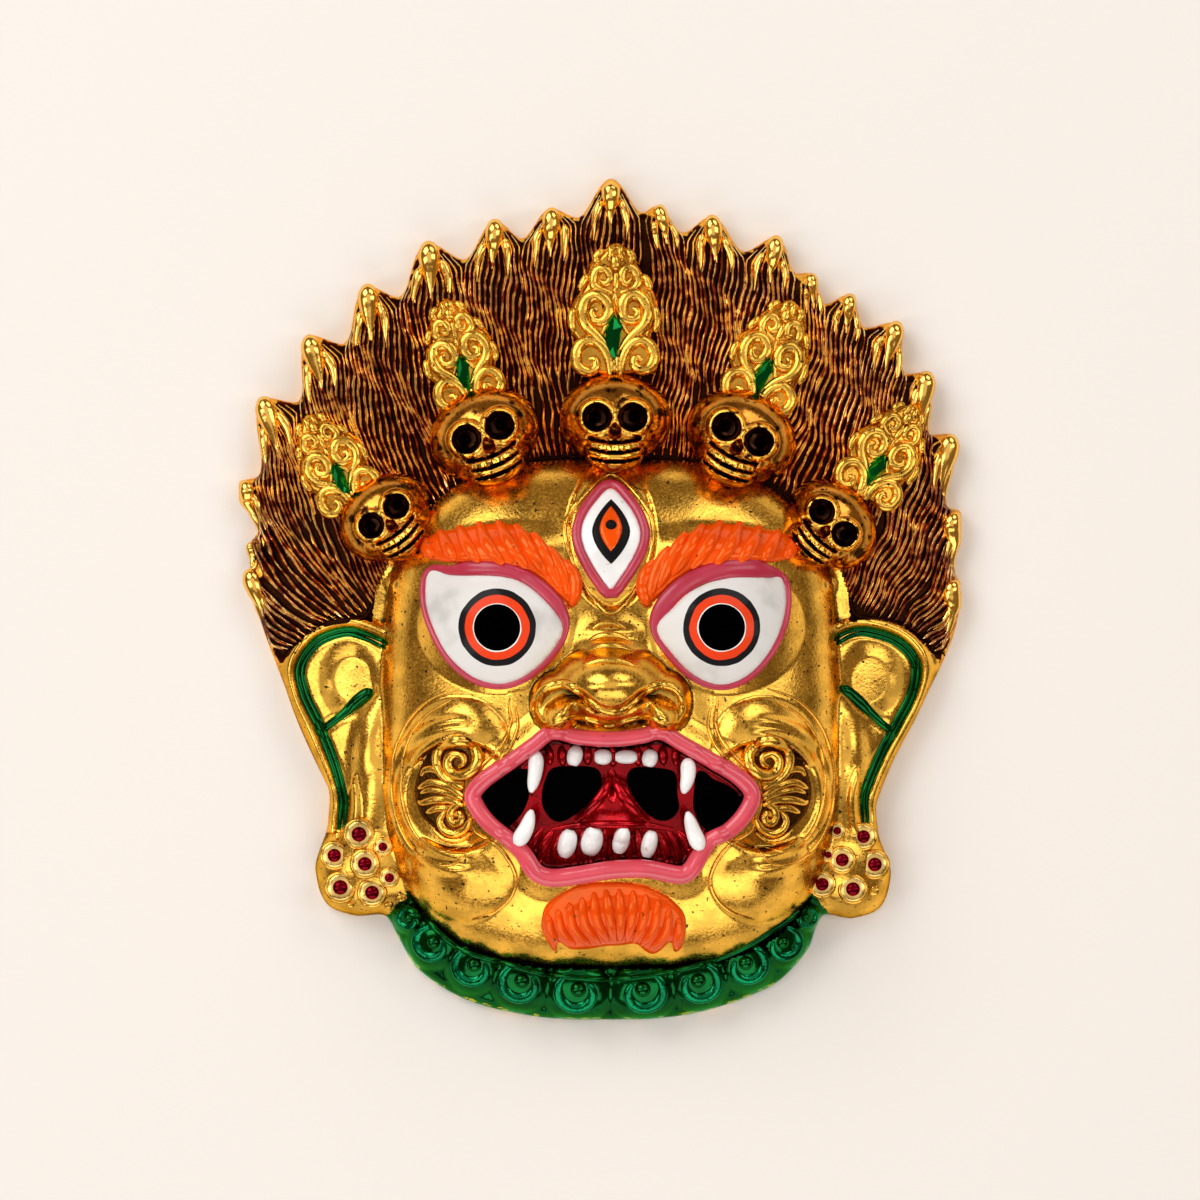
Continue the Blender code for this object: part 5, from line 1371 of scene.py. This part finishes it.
@dataclass
class Mouth:
    """Lips, gums, tongue and teeth."""

    make: Maker
    UPPER = ((575, 755, 16, 19), (603, 756, 17, 16), (626, 756, 22, 14), (649.5, 757, 16, 17))
    LOWER = ((567.5, 842, 19, 27), (592, 840, 22, 26), (621, 839, 17, 25), (649, 842.5, 16, 26))

    def build(self) -> None:
        """Build the lips, tongue and teeth."""
        path = curve(LIP_LINE, 0.9, closed=True)
        widths = 1.85 + 0.35 * ramp(path[:, 1], -44, -54) + 0.2 * ramp(np.abs(path[:, 0]), 20, 32)
        self.make.sweep("lips", [Strip(self.make.on(path, 0.2), widths, True)], PINK, 16, 0.85)
        tongue = []
        for points, wide in ((((612, 768), (604, 790), (590, 808), (576, 820)), 1.3),
                             (((612, 768), (620, 790), (634, 808), (648, 820)), 1.3),
                             (((552, 828), (580, 824), (611, 823), (645, 824), (672, 828)), 1.0)):
            line = curve(mm(points), 0.8)
            tongue.append(Strip(self.make.on(line, 0.3), taper(len(line), wide, 0.3, 0.5)))
        self.make.sweep("tongue", tongue, MOUTH_RED, 12, 0.8)
        gums = []
        for i, across in enumerate(np.arange(549, 682, 12.5)):
            line = curve(mm(((across, 745), (across + 1, 755), (across + 1.5, 764 + i % 3))), 0.6)
            gums.append(Strip(self.make.on(line, 0.1), taper(len(line), 1.1 + 0.15 * (i % 2), 0.3, 0.3)))
        for i, across in enumerate(np.arange(532, 692, 12.0)):
            lean = (across - 611) * 0.14
            line = curve(mm(((across - lean, 827 + 2 * (i % 3)), (across, 845), (across + lean * 0.4, 862))), 0.6)
            gums.append(Strip(self.make.on(line, 0.0), taper(len(line), 1.1 + 0.25 * (i % 2), 0.3, 0.3)))
        self.make.sweep("gums", gums, MOUTH_RED, 8, 0.9)
        teeth = []
        for x, y, wide, tall in self.UPPER + self.LOWER:
            wide, tall = wide * PX, tall * PX
            middle = mm([(x, y)])[0]
            if wide > tall:
                ends = np.array(((-wide / 2, 0), (wide / 2, 0))) * 0.98
                half = tall / 2
            else:
                ends = np.array(((-0.12 * tall, -tall / 2), (0.12 * tall, tall / 2))) * 0.98
                half = wide / 2
            t = np.linspace(0, 1, 9)[:, None]
            line = middle + ends[0] * (1 - t) + ends[1] * t
            teeth.append(Strip(self.make.on(line, 1.3), taper(9, half, 0.55, 0.45, 0.3)))
        for points, wide, low in ((((537, 750), (536, 770), (531.5, 791)), 2.0, 0.8),
                                  (((687, 757), (687, 775), (682.5, 792)), 2.0, 0.8),
                                  (((532.5, 808), (527, 826), (517, 843)), 2.1, 1.2),
                                  (((686.5, 810), (692, 828), (700, 848)), 2.1, 1.2)):
            line = curve(mm(points), 0.6)
            run = np.linspace(0, 1, len(line))
            bow = np.clip(1 - np.abs(2 * run - 1) ** 3.2, 0.1, 1) ** 0.5
            thick = wide * bow * (1.08 - 0.42 * run if low < 1 else 0.62 + 0.5 * run)
            level = np.full(len(line), float(self.make.heights.at(mm([(611, 736)]))[0]) - 1.6)
            teeth.append(Strip(np.column_stack((line, level)), thick))
        self.make.sweep("teeth", teeth, WHITE, 14, 0.8)


@dataclass
class Face:
    """Raised lines of the face: the nose's rolled edge and wrinkles, and the rings round the fans."""

    make: Maker

    def build(self) -> None:
        """Build the gilt lines of the face, the fans and the beard."""
        strips = []
        edge = enlarged(((505, 1030), (500, 985), (530, 935), (590, 908), (650, 918), (700, 960), (750, 995),
                         (800, 1008), (850, 990), (900, 945), (950, 912), (1010, 918), (1045, 955), (1045, 1015)),
                        (400, 440), 3.7333)
        path = curve(edge, 0.8)
        strips.append(Strip(self.make.on(path, 0.0), taper(len(path), 1.25, 0.35, 0.35, 0.3)))
        base = enlarged(((490, 120), (600, 75), (700, 85), (780, 118), (860, 85), (950, 72), (1050, 110)), (440, 700),
                        4.6118)
        path = curve(base, 0.8)
        strips.append(Strip(self.make.on(path, -0.3), taper(len(path), 0.9, 0.4, 0.4, 0.3)))
        for down, half, wide in ((690, 62, 0.95), (735, 78, 1.05), (775, 92, 1.1), (828, 100, 0.9)):
            wrinkle = enlarged(((780 - half, down + 16), (780 - half * 0.5, down), (780, down - 5),
                                (780 + half * 0.5, down), (780 + half, down + 16)), (400, 440), 3.7333)
            path = curve(wrinkle, 0.8)
            strips.append(Strip(self.make.on(path, 0.1), taper(len(path), wide, 0.2, 0.2, 0.5)))
        for sign in (-1, 1):
            for points, wide in ((((509, 700), (511.5, 722), (503, 743), (483, 765), (466, 780)), 0.55),
                                 (((516, 706), (518.5, 726), (510, 747), (490, 768), (474, 782)), 0.5),
                                 (((470, 812), (476, 830), (501, 847), (516, 873), (511.5, 895), (495, 911),
                                   (472.5, 919)), 0.55),
                                 (((460, 688), (430, 700), (408, 722), (396, 750), (392, 780), (396, 815), (410, 845),
                                   (432, 862), (455, 862), (478, 838)), 0.5),
                                 (((452, 700), (426, 716), (408, 742), (402, 775), (405, 808), (418, 836), (440, 850),
                                   (462, 846)), 0.4)):
                places = np.array(points, float)
                if sign > 0:
                    places[:, 0] = 1226 - places[:, 0]
                path = curve(mm(places), 0.9)
                strips.append(Strip(self.make.on(path, 0.1), taper(len(path), wide, 0.3, 0.3, 0.3)))
        self.make.sweep("face_lines", strips, GILT, 8, 0.9)
        self.fans()
        self.beard()

    def fans(self) -> None:
        """Build the scrolled leaves at the corners of the mouth."""
        for side, sign in (("left", 1), ("right", -1)):
            def seen(points: Iterable[Sequence[float]]) -> Array:
                places = np.array(points, float)
                if sign < 0:
                    places[:, 0] = (1226 - 800) * 8.711 - places[:, 0]
                return enlarged(places, (400, 720), 8.711)

            ground = curve(seen(((200, 380), (330, 200), (560, 130), (690, 240), (700, 420), (590, 520), (560, 700),
                                 (600, 860), (560, 960), (420, 1000), (300, 930), (180, 800), (135, 600))), 0.7,
                           closed=True)
            self.make.coat("fan_ground_" + side, ground, 0.35, 0.8, FAN_GROUND, 0.6)
            strips = []
            for points, wide in (
                    (((560, 545), (470, 540), (380, 470), (335, 370), (345, 270), (420, 195), (530, 170), (640, 215),
                      (690, 310), (670, 400), (600, 460), (510, 470), (440, 420), (430, 340), (490, 285), (560, 310),
                      (570, 370), (520, 400)), 1.25),
                    (((560, 590), (450, 520), (330, 430), (230, 430), (195, 480)), 0.85),
                    (((560, 650), (430, 570), (290, 535), (170, 590)), 0.85),
                    (((555, 680), (420, 625), (280, 600), (190, 630)), 0.7),
                    (((550, 730), (450, 690), (320, 685), (200, 715), (170, 700)), 0.9),
                    (((520, 740), (440, 760), (340, 760), (240, 800)), 0.8),
                    (((540, 700), (470, 760), (450, 830), (490, 890), (550, 860), (530, 800), (480, 830)), 0.9),
                    (((400, 790), (360, 870), (400, 950), (490, 980), (580, 930), (620, 850)), 0.95),
                    (((300, 950), (400, 1030), (520, 1040), (620, 970)), 0.6)):
                path = curve(seen(points), 0.6)
                strips.append(Strip(self.make.on(path, 0.7), taper(len(path), 1.22 * wide, 0.4, 0.35, 0.3)))
            self.make.sweep("fan_" + side, strips, GILT, 10, 0.9)

    def beard(self) -> None:
        """Build the enamelled tuft under the lip."""
        def seen(points: Iterable[Sequence[float]]) -> Array:
            return enlarged(points, (440, 700), 4.6118)

        loop = curve(seen(((470, 1010), (490, 940), (560, 885), (650, 845), (780, 832), (900, 842), (1000, 875),
                           (1080, 925), (1128, 990), (1130, 1080), (1112, 1140), (1080, 1160), (1062, 1112),
                           (1020, 1150), (980, 1170), (940, 1150), (900, 1120), (830, 1128), (760, 1132), (680, 1145),
                           (600, 1145), (548, 1112), (535, 1160), (500, 1120), (472, 1060))), 0.7, closed=True)
        self.make.coat("beard", loop, 1.2, 1.6, ORANGE, 0.6)
        strips = []
        for points in (((500, 985), (510, 1060), (540, 1110)), ((545, 960), (560, 1050), (620, 1125)),
                       ((597, 930), (615, 1040), (690, 1125)), ((655, 905), (668, 1020), (735, 1118)),
                       ((710, 880), (722, 1000), (775, 1110)), ((765, 868), (780, 980), (805, 1105)),
                       ((825, 865), (832, 980), (830, 1105)), ((890, 872), (884, 990), (862, 1105)),
                       ((948, 890), (935, 1010), (895, 1110)), ((1005, 918), (985, 1040), (930, 1125)),
                       ((1055, 955), (1040, 1060), (975, 1140)), ((1100, 1000), (1100, 1070), (1082, 1130))):
            path = curve(seen(points), 0.7)
            strips.append(Strip(self.make.on(path, 1.25), taper(len(path), 1.25, 0.3, 0.4, 0.35)))
        self.make.sweep("beard_ribs", strips, ORANGE, 10, 0.85)


@dataclass
class Ears:
    """The painted lines and the clustered drops of the ears."""

    make: Maker
    BOSSES = ((359, 834.5, 16), (334, 856, 14.5), (365, 864, 15), (383, 847, 9.5), (389.5, 878, 10), (340, 888, 16),
              (372, 893, 15), (863.6, 837, 14), (875, 865, 15), (842, 860, 14), (853, 889.5, 15), (822, 884.5, 14),
              (837, 831, 8.5), (828, 855, 7.5))
    PLAIN = ((338, 837, 4), (402, 897, 6), (874.5, 891, 6), (350, 905, 4), (388, 905, 5))

    def build(self) -> None:
        """Build the ears' lines and drops."""
        green = []
        for line, branch in ((EAR_LINE_LEFT, EAR_BRANCH_LEFT), (EAR_LINE_RIGHT, EAR_BRANCH_RIGHT)):
            path = curve(line, 1.0)
            ahead = np.gradient(path, axis=0)
            ahead /= np.linalg.norm(ahead, axis=1)[:, None]
            for by, wide in ((0.6, 0.8), (-0.6, 0.72)):
                moved = path + by * np.column_stack((ahead[:, 1], -ahead[:, 0]))
                green.append(Strip(self.make.on(moved, 0.1), taper(len(path), wide, 0.55, 0.5, 0.2)))
            path = curve(branch, 1.0)
            grow = np.linspace(0, 1, len(path))
            thick = (0.95 + 0.55 * ramp(grow, 0.25, 0.7)) * np.sqrt(np.clip(1 - np.clip((grow - 0.86) / 0.14, 0, 1) ** 2, 0.06, 1))
            green.append(Strip(self.make.on(path, 0.05), thick))
        self.make.sweep("ear_lines", green, GREEN, 10, 0.8)
        turn = np.linspace(0, 2 * np.pi, 28, endpoint=False)
        balls, plates, rubies, rings = [], [], [], []
        for x, y, radius in self.BOSSES + self.PLAIN:
            middle, r = mm([(x, y)])[0], radius * PX
            if radius < 7:
                balls.append(self.make.bead(middle, r, 0.1))
                continue
            balls.append(self.make.bead(middle, 0.86 * r, -0.04 * r))
            top = float(self.make.heights.at(middle[None])[0]) + 0.35 * r
            ring = np.column_stack((middle[0] + 0.86 * r * np.cos(turn), middle[1] + 0.86 * r * np.sin(turn),
                                    np.full(len(turn), top - 0.14 * r)))
            rings.append(Strip(ring, 0.17 * r, True))
            plate = self.make.bead(middle, 0.82 * r)
            plate.points[:, 2] = top - 0.02 * r
            plates.append(plate)
            ruby = self.make.bead(middle, 0.48 * r)
            ruby.points[:, 2] = top + 0.1
            rubies.append(ruby)
        self.make.sweep("drop_balls", balls, GILT, 20, 0.5)
        self.make.sweep("drop_rings", rings, GILT, 8, 0.9)
        # The flat plates take the paler gilt as a painted highlight.
        self.make.sweep("drop_plates", plates, GILT_HIGHLIGHT, 24, 0.13)
        self.make.sweep("drop_stones", rubies, RUBY, 14, 0.6)


@dataclass
class Collar:
    """The scrolled green collar under the chin."""

    make: Maker

    def build(self) -> None:
        """Build the collar's scrolls, domes and cord."""
        scrolls, domes = [], []
        for boss in COLLAR_BOSSES:
            middle, lean = collar_place(boss)
            tilt = math.radians(lean)
            along, out = np.array((math.cos(tilt), math.sin(tilt))), np.array((-math.sin(tilt), math.cos(tilt)))
            r = boss[3] * PX
            way = -1 if boss[0] > 611 else 1
            angle = np.radians(90 + 38 * way + way * np.linspace(0, 275, 24))
            reach = r * np.linspace(0.76, 0.46, 24)
            x, y = reach * np.cos(angle) * 1.12, reach * np.sin(angle) + 0.04 * r
            path = middle + x[:, None] * along + y[:, None] * out
            grow = np.linspace(0, 1, 24)
            thick = 0.27 * r * np.clip(np.sin(np.pi * np.clip(0.12 + 0.8 * grow, 0, 1)), 0.2, 1) ** 0.8
            scrolls.append(Strip(self.make.on(path, 0.05), thick))
            domes.append(self.make.bead(middle + 0.14 * r * out, 0.31 * r, 0.2))
        # The crescents take the lighter green as a painted highlight.
        self.make.sweep("collar_scrolls", scrolls, GREEN_HIGHLIGHT, 12, 0.65)
        self.make.sweep("collar_domes", domes, GREEN, 12, 0.9)
        inner = mm(((424, 911), (460, 944), (505, 959), (550, 971), (613, 975), (670, 968), (730, 950), (775, 923),
                    (796, 908)))
        path = curve(inner, 1.0)
        outer = np.array([(p[0] * 1.012, p[1] - 1.0) for p in path])
        strips = [Strip(self.make.on(outer, 0.1), 0.75)]
        self.make.sweep("collar_cord", strips, GREEN, 8, 0.9)


LEAF_VIEW = ((365, 873), 6.533)
LEAF_PLATE = local(((130, 880), (92, 760), (112, 680), (66, 600), (62, 480), (92, 380), (150, 290), (180, 180),
                    (240, 90), (310, 35), (375, 0), (440, 40), (500, 105), (550, 200), (612, 300), (650, 400),
                    (650, 520), (612, 620), (642, 700), (640, 790), (600, 880)), *LEAF_VIEW)
LEAF_SCROLLS = tuple(
    (local(points, *LEAF_VIEW), wide) for points, wide in (
        (((335, 880), (322, 770), (275, 690), (200, 655), (135, 690), (110, 760), (130, 830), (190, 862), (240, 835),
          (235, 780), (195, 775)), 1.05),
        (((400, 880), (415, 780), (455, 700), (525, 655), (592, 690), (620, 755), (598, 825), (540, 850), (490, 815),
          (500, 765), (545, 785)), 1.05),
        (((325, 720), (250, 630), (178, 560), (150, 470), (180, 390), (245, 360), (310, 400), (325, 470), (290, 530),
          (235, 520), (215, 470), (250, 445)), 1.15),
        (((400, 720), (475, 630), (552, 560), (580, 470), (550, 390), (485, 352), (425, 392), (412, 460), (440, 515),
          (500, 515), (515, 465), (480, 445)), 1.15),
        (((345, 345), (270, 325), (225, 290), (230, 230), (265, 185), (315, 200), (335, 250), (305, 285), (268, 262)),
         0.85),
        (((400, 345), (470, 325), (515, 290), (505, 220), (465, 178), (420, 200), (410, 250), (440, 285), (472, 250)),
         0.85),
        (((372, 205), (372, 280), (365, 350)), 0.6),
        (((365, 350), (385, 450), (415, 545), (455, 625)), 0.5),
        (((365, 350), (345, 450), (315, 545), (275, 625)), 0.5),
        (((370, 92), (366, 140), (372, 205)), 0.95),
        (((290, 60), (240, 115), (265, 160)), 0.7),
        (((440, 60), (480, 110), (455, 155)), 0.7),
        (((330, 40), (340, 90), (320, 140)), 0.55),
        (((405, 40), (400, 90), (420, 140)), 0.55),
        (((95, 600), (80, 520), (95, 440)), 0.7),
        (((628, 600), (640, 520), (625, 430)), 0.7),
        (((130, 330), (160, 270), (185, 220)), 0.65),
        (((600, 330), (575, 270), (548, 220)), 0.65),
        (((350, 880), (352, 820), (350, 770)), 0.7),
        (((385, 880), (385, 820), (382, 750)), 0.7),
    )
)
LEAF_GEM = local(((360, 515), (402, 572), (392, 640), (368, 765), (318, 748), (308, 660), (318, 580)), *LEAF_VIEW)
LEAVES = (((355.6, 504), 29.5, 0.78), ((473, 403), 15.5, 0.82), ((615, 374), 0.0, 1.0), ((753.4, 407), -19.6, 0.87),
          ((861.2, 497), -30.6, 0.82))


@dataclass
class Leaf:
    """One pierced leaf of the crown, with its green stone."""

    make: Maker
    name: str
    base: Array
    tilt: float
    size: float

    def laid(self, points: Array) -> Array:
        """Plan points of a leaf's own points."""
        angle = math.radians(self.tilt)
        x, y = points[:, 0] * self.size, points[:, 1] * self.size
        return self.base + np.column_stack((x * math.cos(angle) - y * math.sin(angle),
                                            x * math.sin(angle) + y * math.cos(angle)))

    def build(self) -> None:
        """Build the plate, scrolls and stone."""
        loop = self.laid(curve(LEAF_PLATE, 0.7, closed=True))
        piece = self.make.coat(self.name + "_plate", loop, 3.2, 1.8, LEAF_GROUND, 0.5)
        strips = []
        for points, wide in LEAF_SCROLLS:
            path = self.laid(curve(points, 0.6))
            level = self.make.on(path, 3.3)
            strips.append(Strip(level, taper(len(path), 1.5 * wide * self.size**0.6, 0.4, 0.3, 0.3)))
        piece = self.make.sweep(self.name + "_scrolls", strips, GILT, 10, 0.9)
        ring = self.laid(LEAF_GEM)
        middle = ring.mean(axis=0)
        ring = middle + (ring - middle) * 1.22
        level = float(self.make.heights.at(middle[None])[0]) + 4.0
        along = self.laid(np.array(((0.0, 0.0), (0.0, 1.0))))
        up = (along[1] - along[0]) / np.hypot(*(along[1] - along[0]))
        spots = [(*p, level - 0.6) for p in ring] + [(*p, level + 0.3) for p in middle + (ring - middle) * 0.86]
        spots += [(*(middle + up * 1.9 * self.size), level + 1.5), (*(middle - up * 2.1 * self.size), level + 1.3),
                  (*middle, level - 0.6)]
        count = len(ring)
        faces = []
        for i in range(count):
            j = (i + 1) % count
            faces += [(i, j, j + count, i + count), (i, 2 * count + 2, j)]
            upper = (middle + (ring[i] + ring[j]) / 2 - middle - middle) @ up > 0
            faces.append((i + count, j + count, 2 * count + (0 if upper else 1)))
            after = (ring[j] + ring[(j + 1) % count]) / 2 - middle
            if (after @ up > 0) != upper:
                faces.append((j + count, 2 * count + (0 if not upper else 1), 2 * count + (0 if upper else 1)))
        mesh = bpy.data.meshes.new(self.name)
        mesh.from_pydata(self.make.place(np.array(spots)).tolist(), [], faces)
        built = bmesh.new()
        built.from_mesh(mesh)
        bmesh.ops.recalc_face_normals(built, faces=built.faces)
        built.to_mesh(mesh)
        built.free()
        self.make.finish_piece(self.name + "_stone", mesh, (EMERALD,), False)


class Studio:
    """The pale floor with a painted shadow under the mask, soft lights and the camera straight above."""

    FLOOR = (0.865, 0.835, 0.81)

    @staticmethod
    def area(name: str, place: Sequence[float], size: tuple[float, float], power: float, colour: Sequence[float] = (1, 1, 1)) -> None:
        """Add a soft light aimed at the mask."""
        data = bpy.data.lights.new(name, "AREA")
        data.shape = "RECTANGLE"
        data.size, data.size_y = size
        data.energy, data.color = power, colour
        light = bpy.data.objects.new(name, data)
        light.location = place
        light.rotation_mode = "QUATERNION"
        light.rotation_quaternion = Vector(place).to_track_quat("Z", "Y")
        bpy.context.scene.collection.objects.link(light)

    def build(self) -> None:
        """Build floor, lights, world and camera."""
        mesh = bpy.data.meshes.new("floor")
        reach = 2.5
        mesh.from_pydata([(-reach, -reach, 0), (reach, -reach, 0), (reach, reach, 0), (-reach, reach, 0)], [], [(0, 1, 2, 3)])
        floor = bpy.data.objects.new("floor", mesh)
        material = bpy.data.materials.new("paper")
        material.use_nodes = True
        shader = material.node_tree.nodes["Principled BSDF"]
        n = Nodes(material.node_tree)
        place = n.add("ShaderNodeTexCoord").outputs["Object"]
        # Painted shadow: a near black disc on the floor under the middle of the mask, seen only through its holes.
        away = n.add("ShaderNodeVectorMath", {"operation": "LENGTH"}, _0=place).outputs["Value"]
        shade = n.add("ShaderNodeMapRange", None, Value=away, From_Min=0.066, From_Max=0.072).outputs[0]
        tint = n.add("ShaderNodeMix", {"data_type": "RGBA"}, _0=shade, _6=(0.004, 0.003, 0.003, 1.0),
                     _7=(*self.FLOOR, 1.0))
        n.feed(shader, "Base Color", tint.outputs[2])
        shader.inputs["Roughness"].default_value = 0.9
        shader.inputs["Specular IOR Level"].default_value = 0.1
        mesh.materials.append(material)
        bpy.context.scene.collection.objects.link(floor)
        self.area("overhead", (0.0, 0.0, 2.75), (2.2, 2.2), 9.0)
        self.area("key", (-0.95, 0.95, 1.15), (1.2, 1.2), 16.0)
        self.area("brow", (0.75, 1.2, 1.0), (1.1, 0.8), 6.0)
        self.area("left_strip", (-1.05, -0.3, 1.2), (0.45, 1.1), 4.5)
        self.area("right_strip", (1.05, 0.1, 1.2), (0.45, 1.1), 4.0)
        self.area("foot", (0.0, -1.4, 0.85), (1.9, 1.1), 12.0)
        world = bpy.data.worlds.new("studio")
        world.use_nodes = True
        world.node_tree.nodes["Background"].inputs[0].default_value = (1.0, 0.72, 0.42, 1.0)
        world.node_tree.nodes["Background"].inputs[1].default_value = 0.2
        scene = bpy.context.scene
        scene.world = world
        scene.view_settings.view_transform = "Standard"
        scene.view_settings.look = "None"
        data = bpy.data.cameras.new("camera")
        camera = bpy.data.objects.new("camera", data)
        scene.collection.objects.link(camera)
        distance = 2.4
        data.sensor_width = 36.0
        data.lens = 36.0 * distance / (1200 * PX / 1000)
        data.clip_end = 10.0
        camera.location = (0.0, -0.0002, distance + 0.012)
        scene.camera = camera


def main() -> None:
    """Load the frame, dress it and finish."""
    logging.basicConfig(level=logging.INFO, format="%(name)s %(message)s")
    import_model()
    make = Maker(Relief())
    Studio().build()
    Casting(make).build()
    Hair(make).build()
    for number, (place, tilt, size) in enumerate(SKULLS, 1):
        Skull(make, f"skull_{number}", mm([place])[0], tilt, size).build()
    for number, (place, tilt, size) in enumerate(LEAVES, 1):
        Leaf(make, f"leaf_{number}", mm([place])[0], tilt, size).build()
    Eyes(make).build()
    Brows(make).build()
    Mouth(make).build()
    Face(make).build()
    Ears(make).build()
    Collar(make).build()


if __name__ == "__main__":
    main()
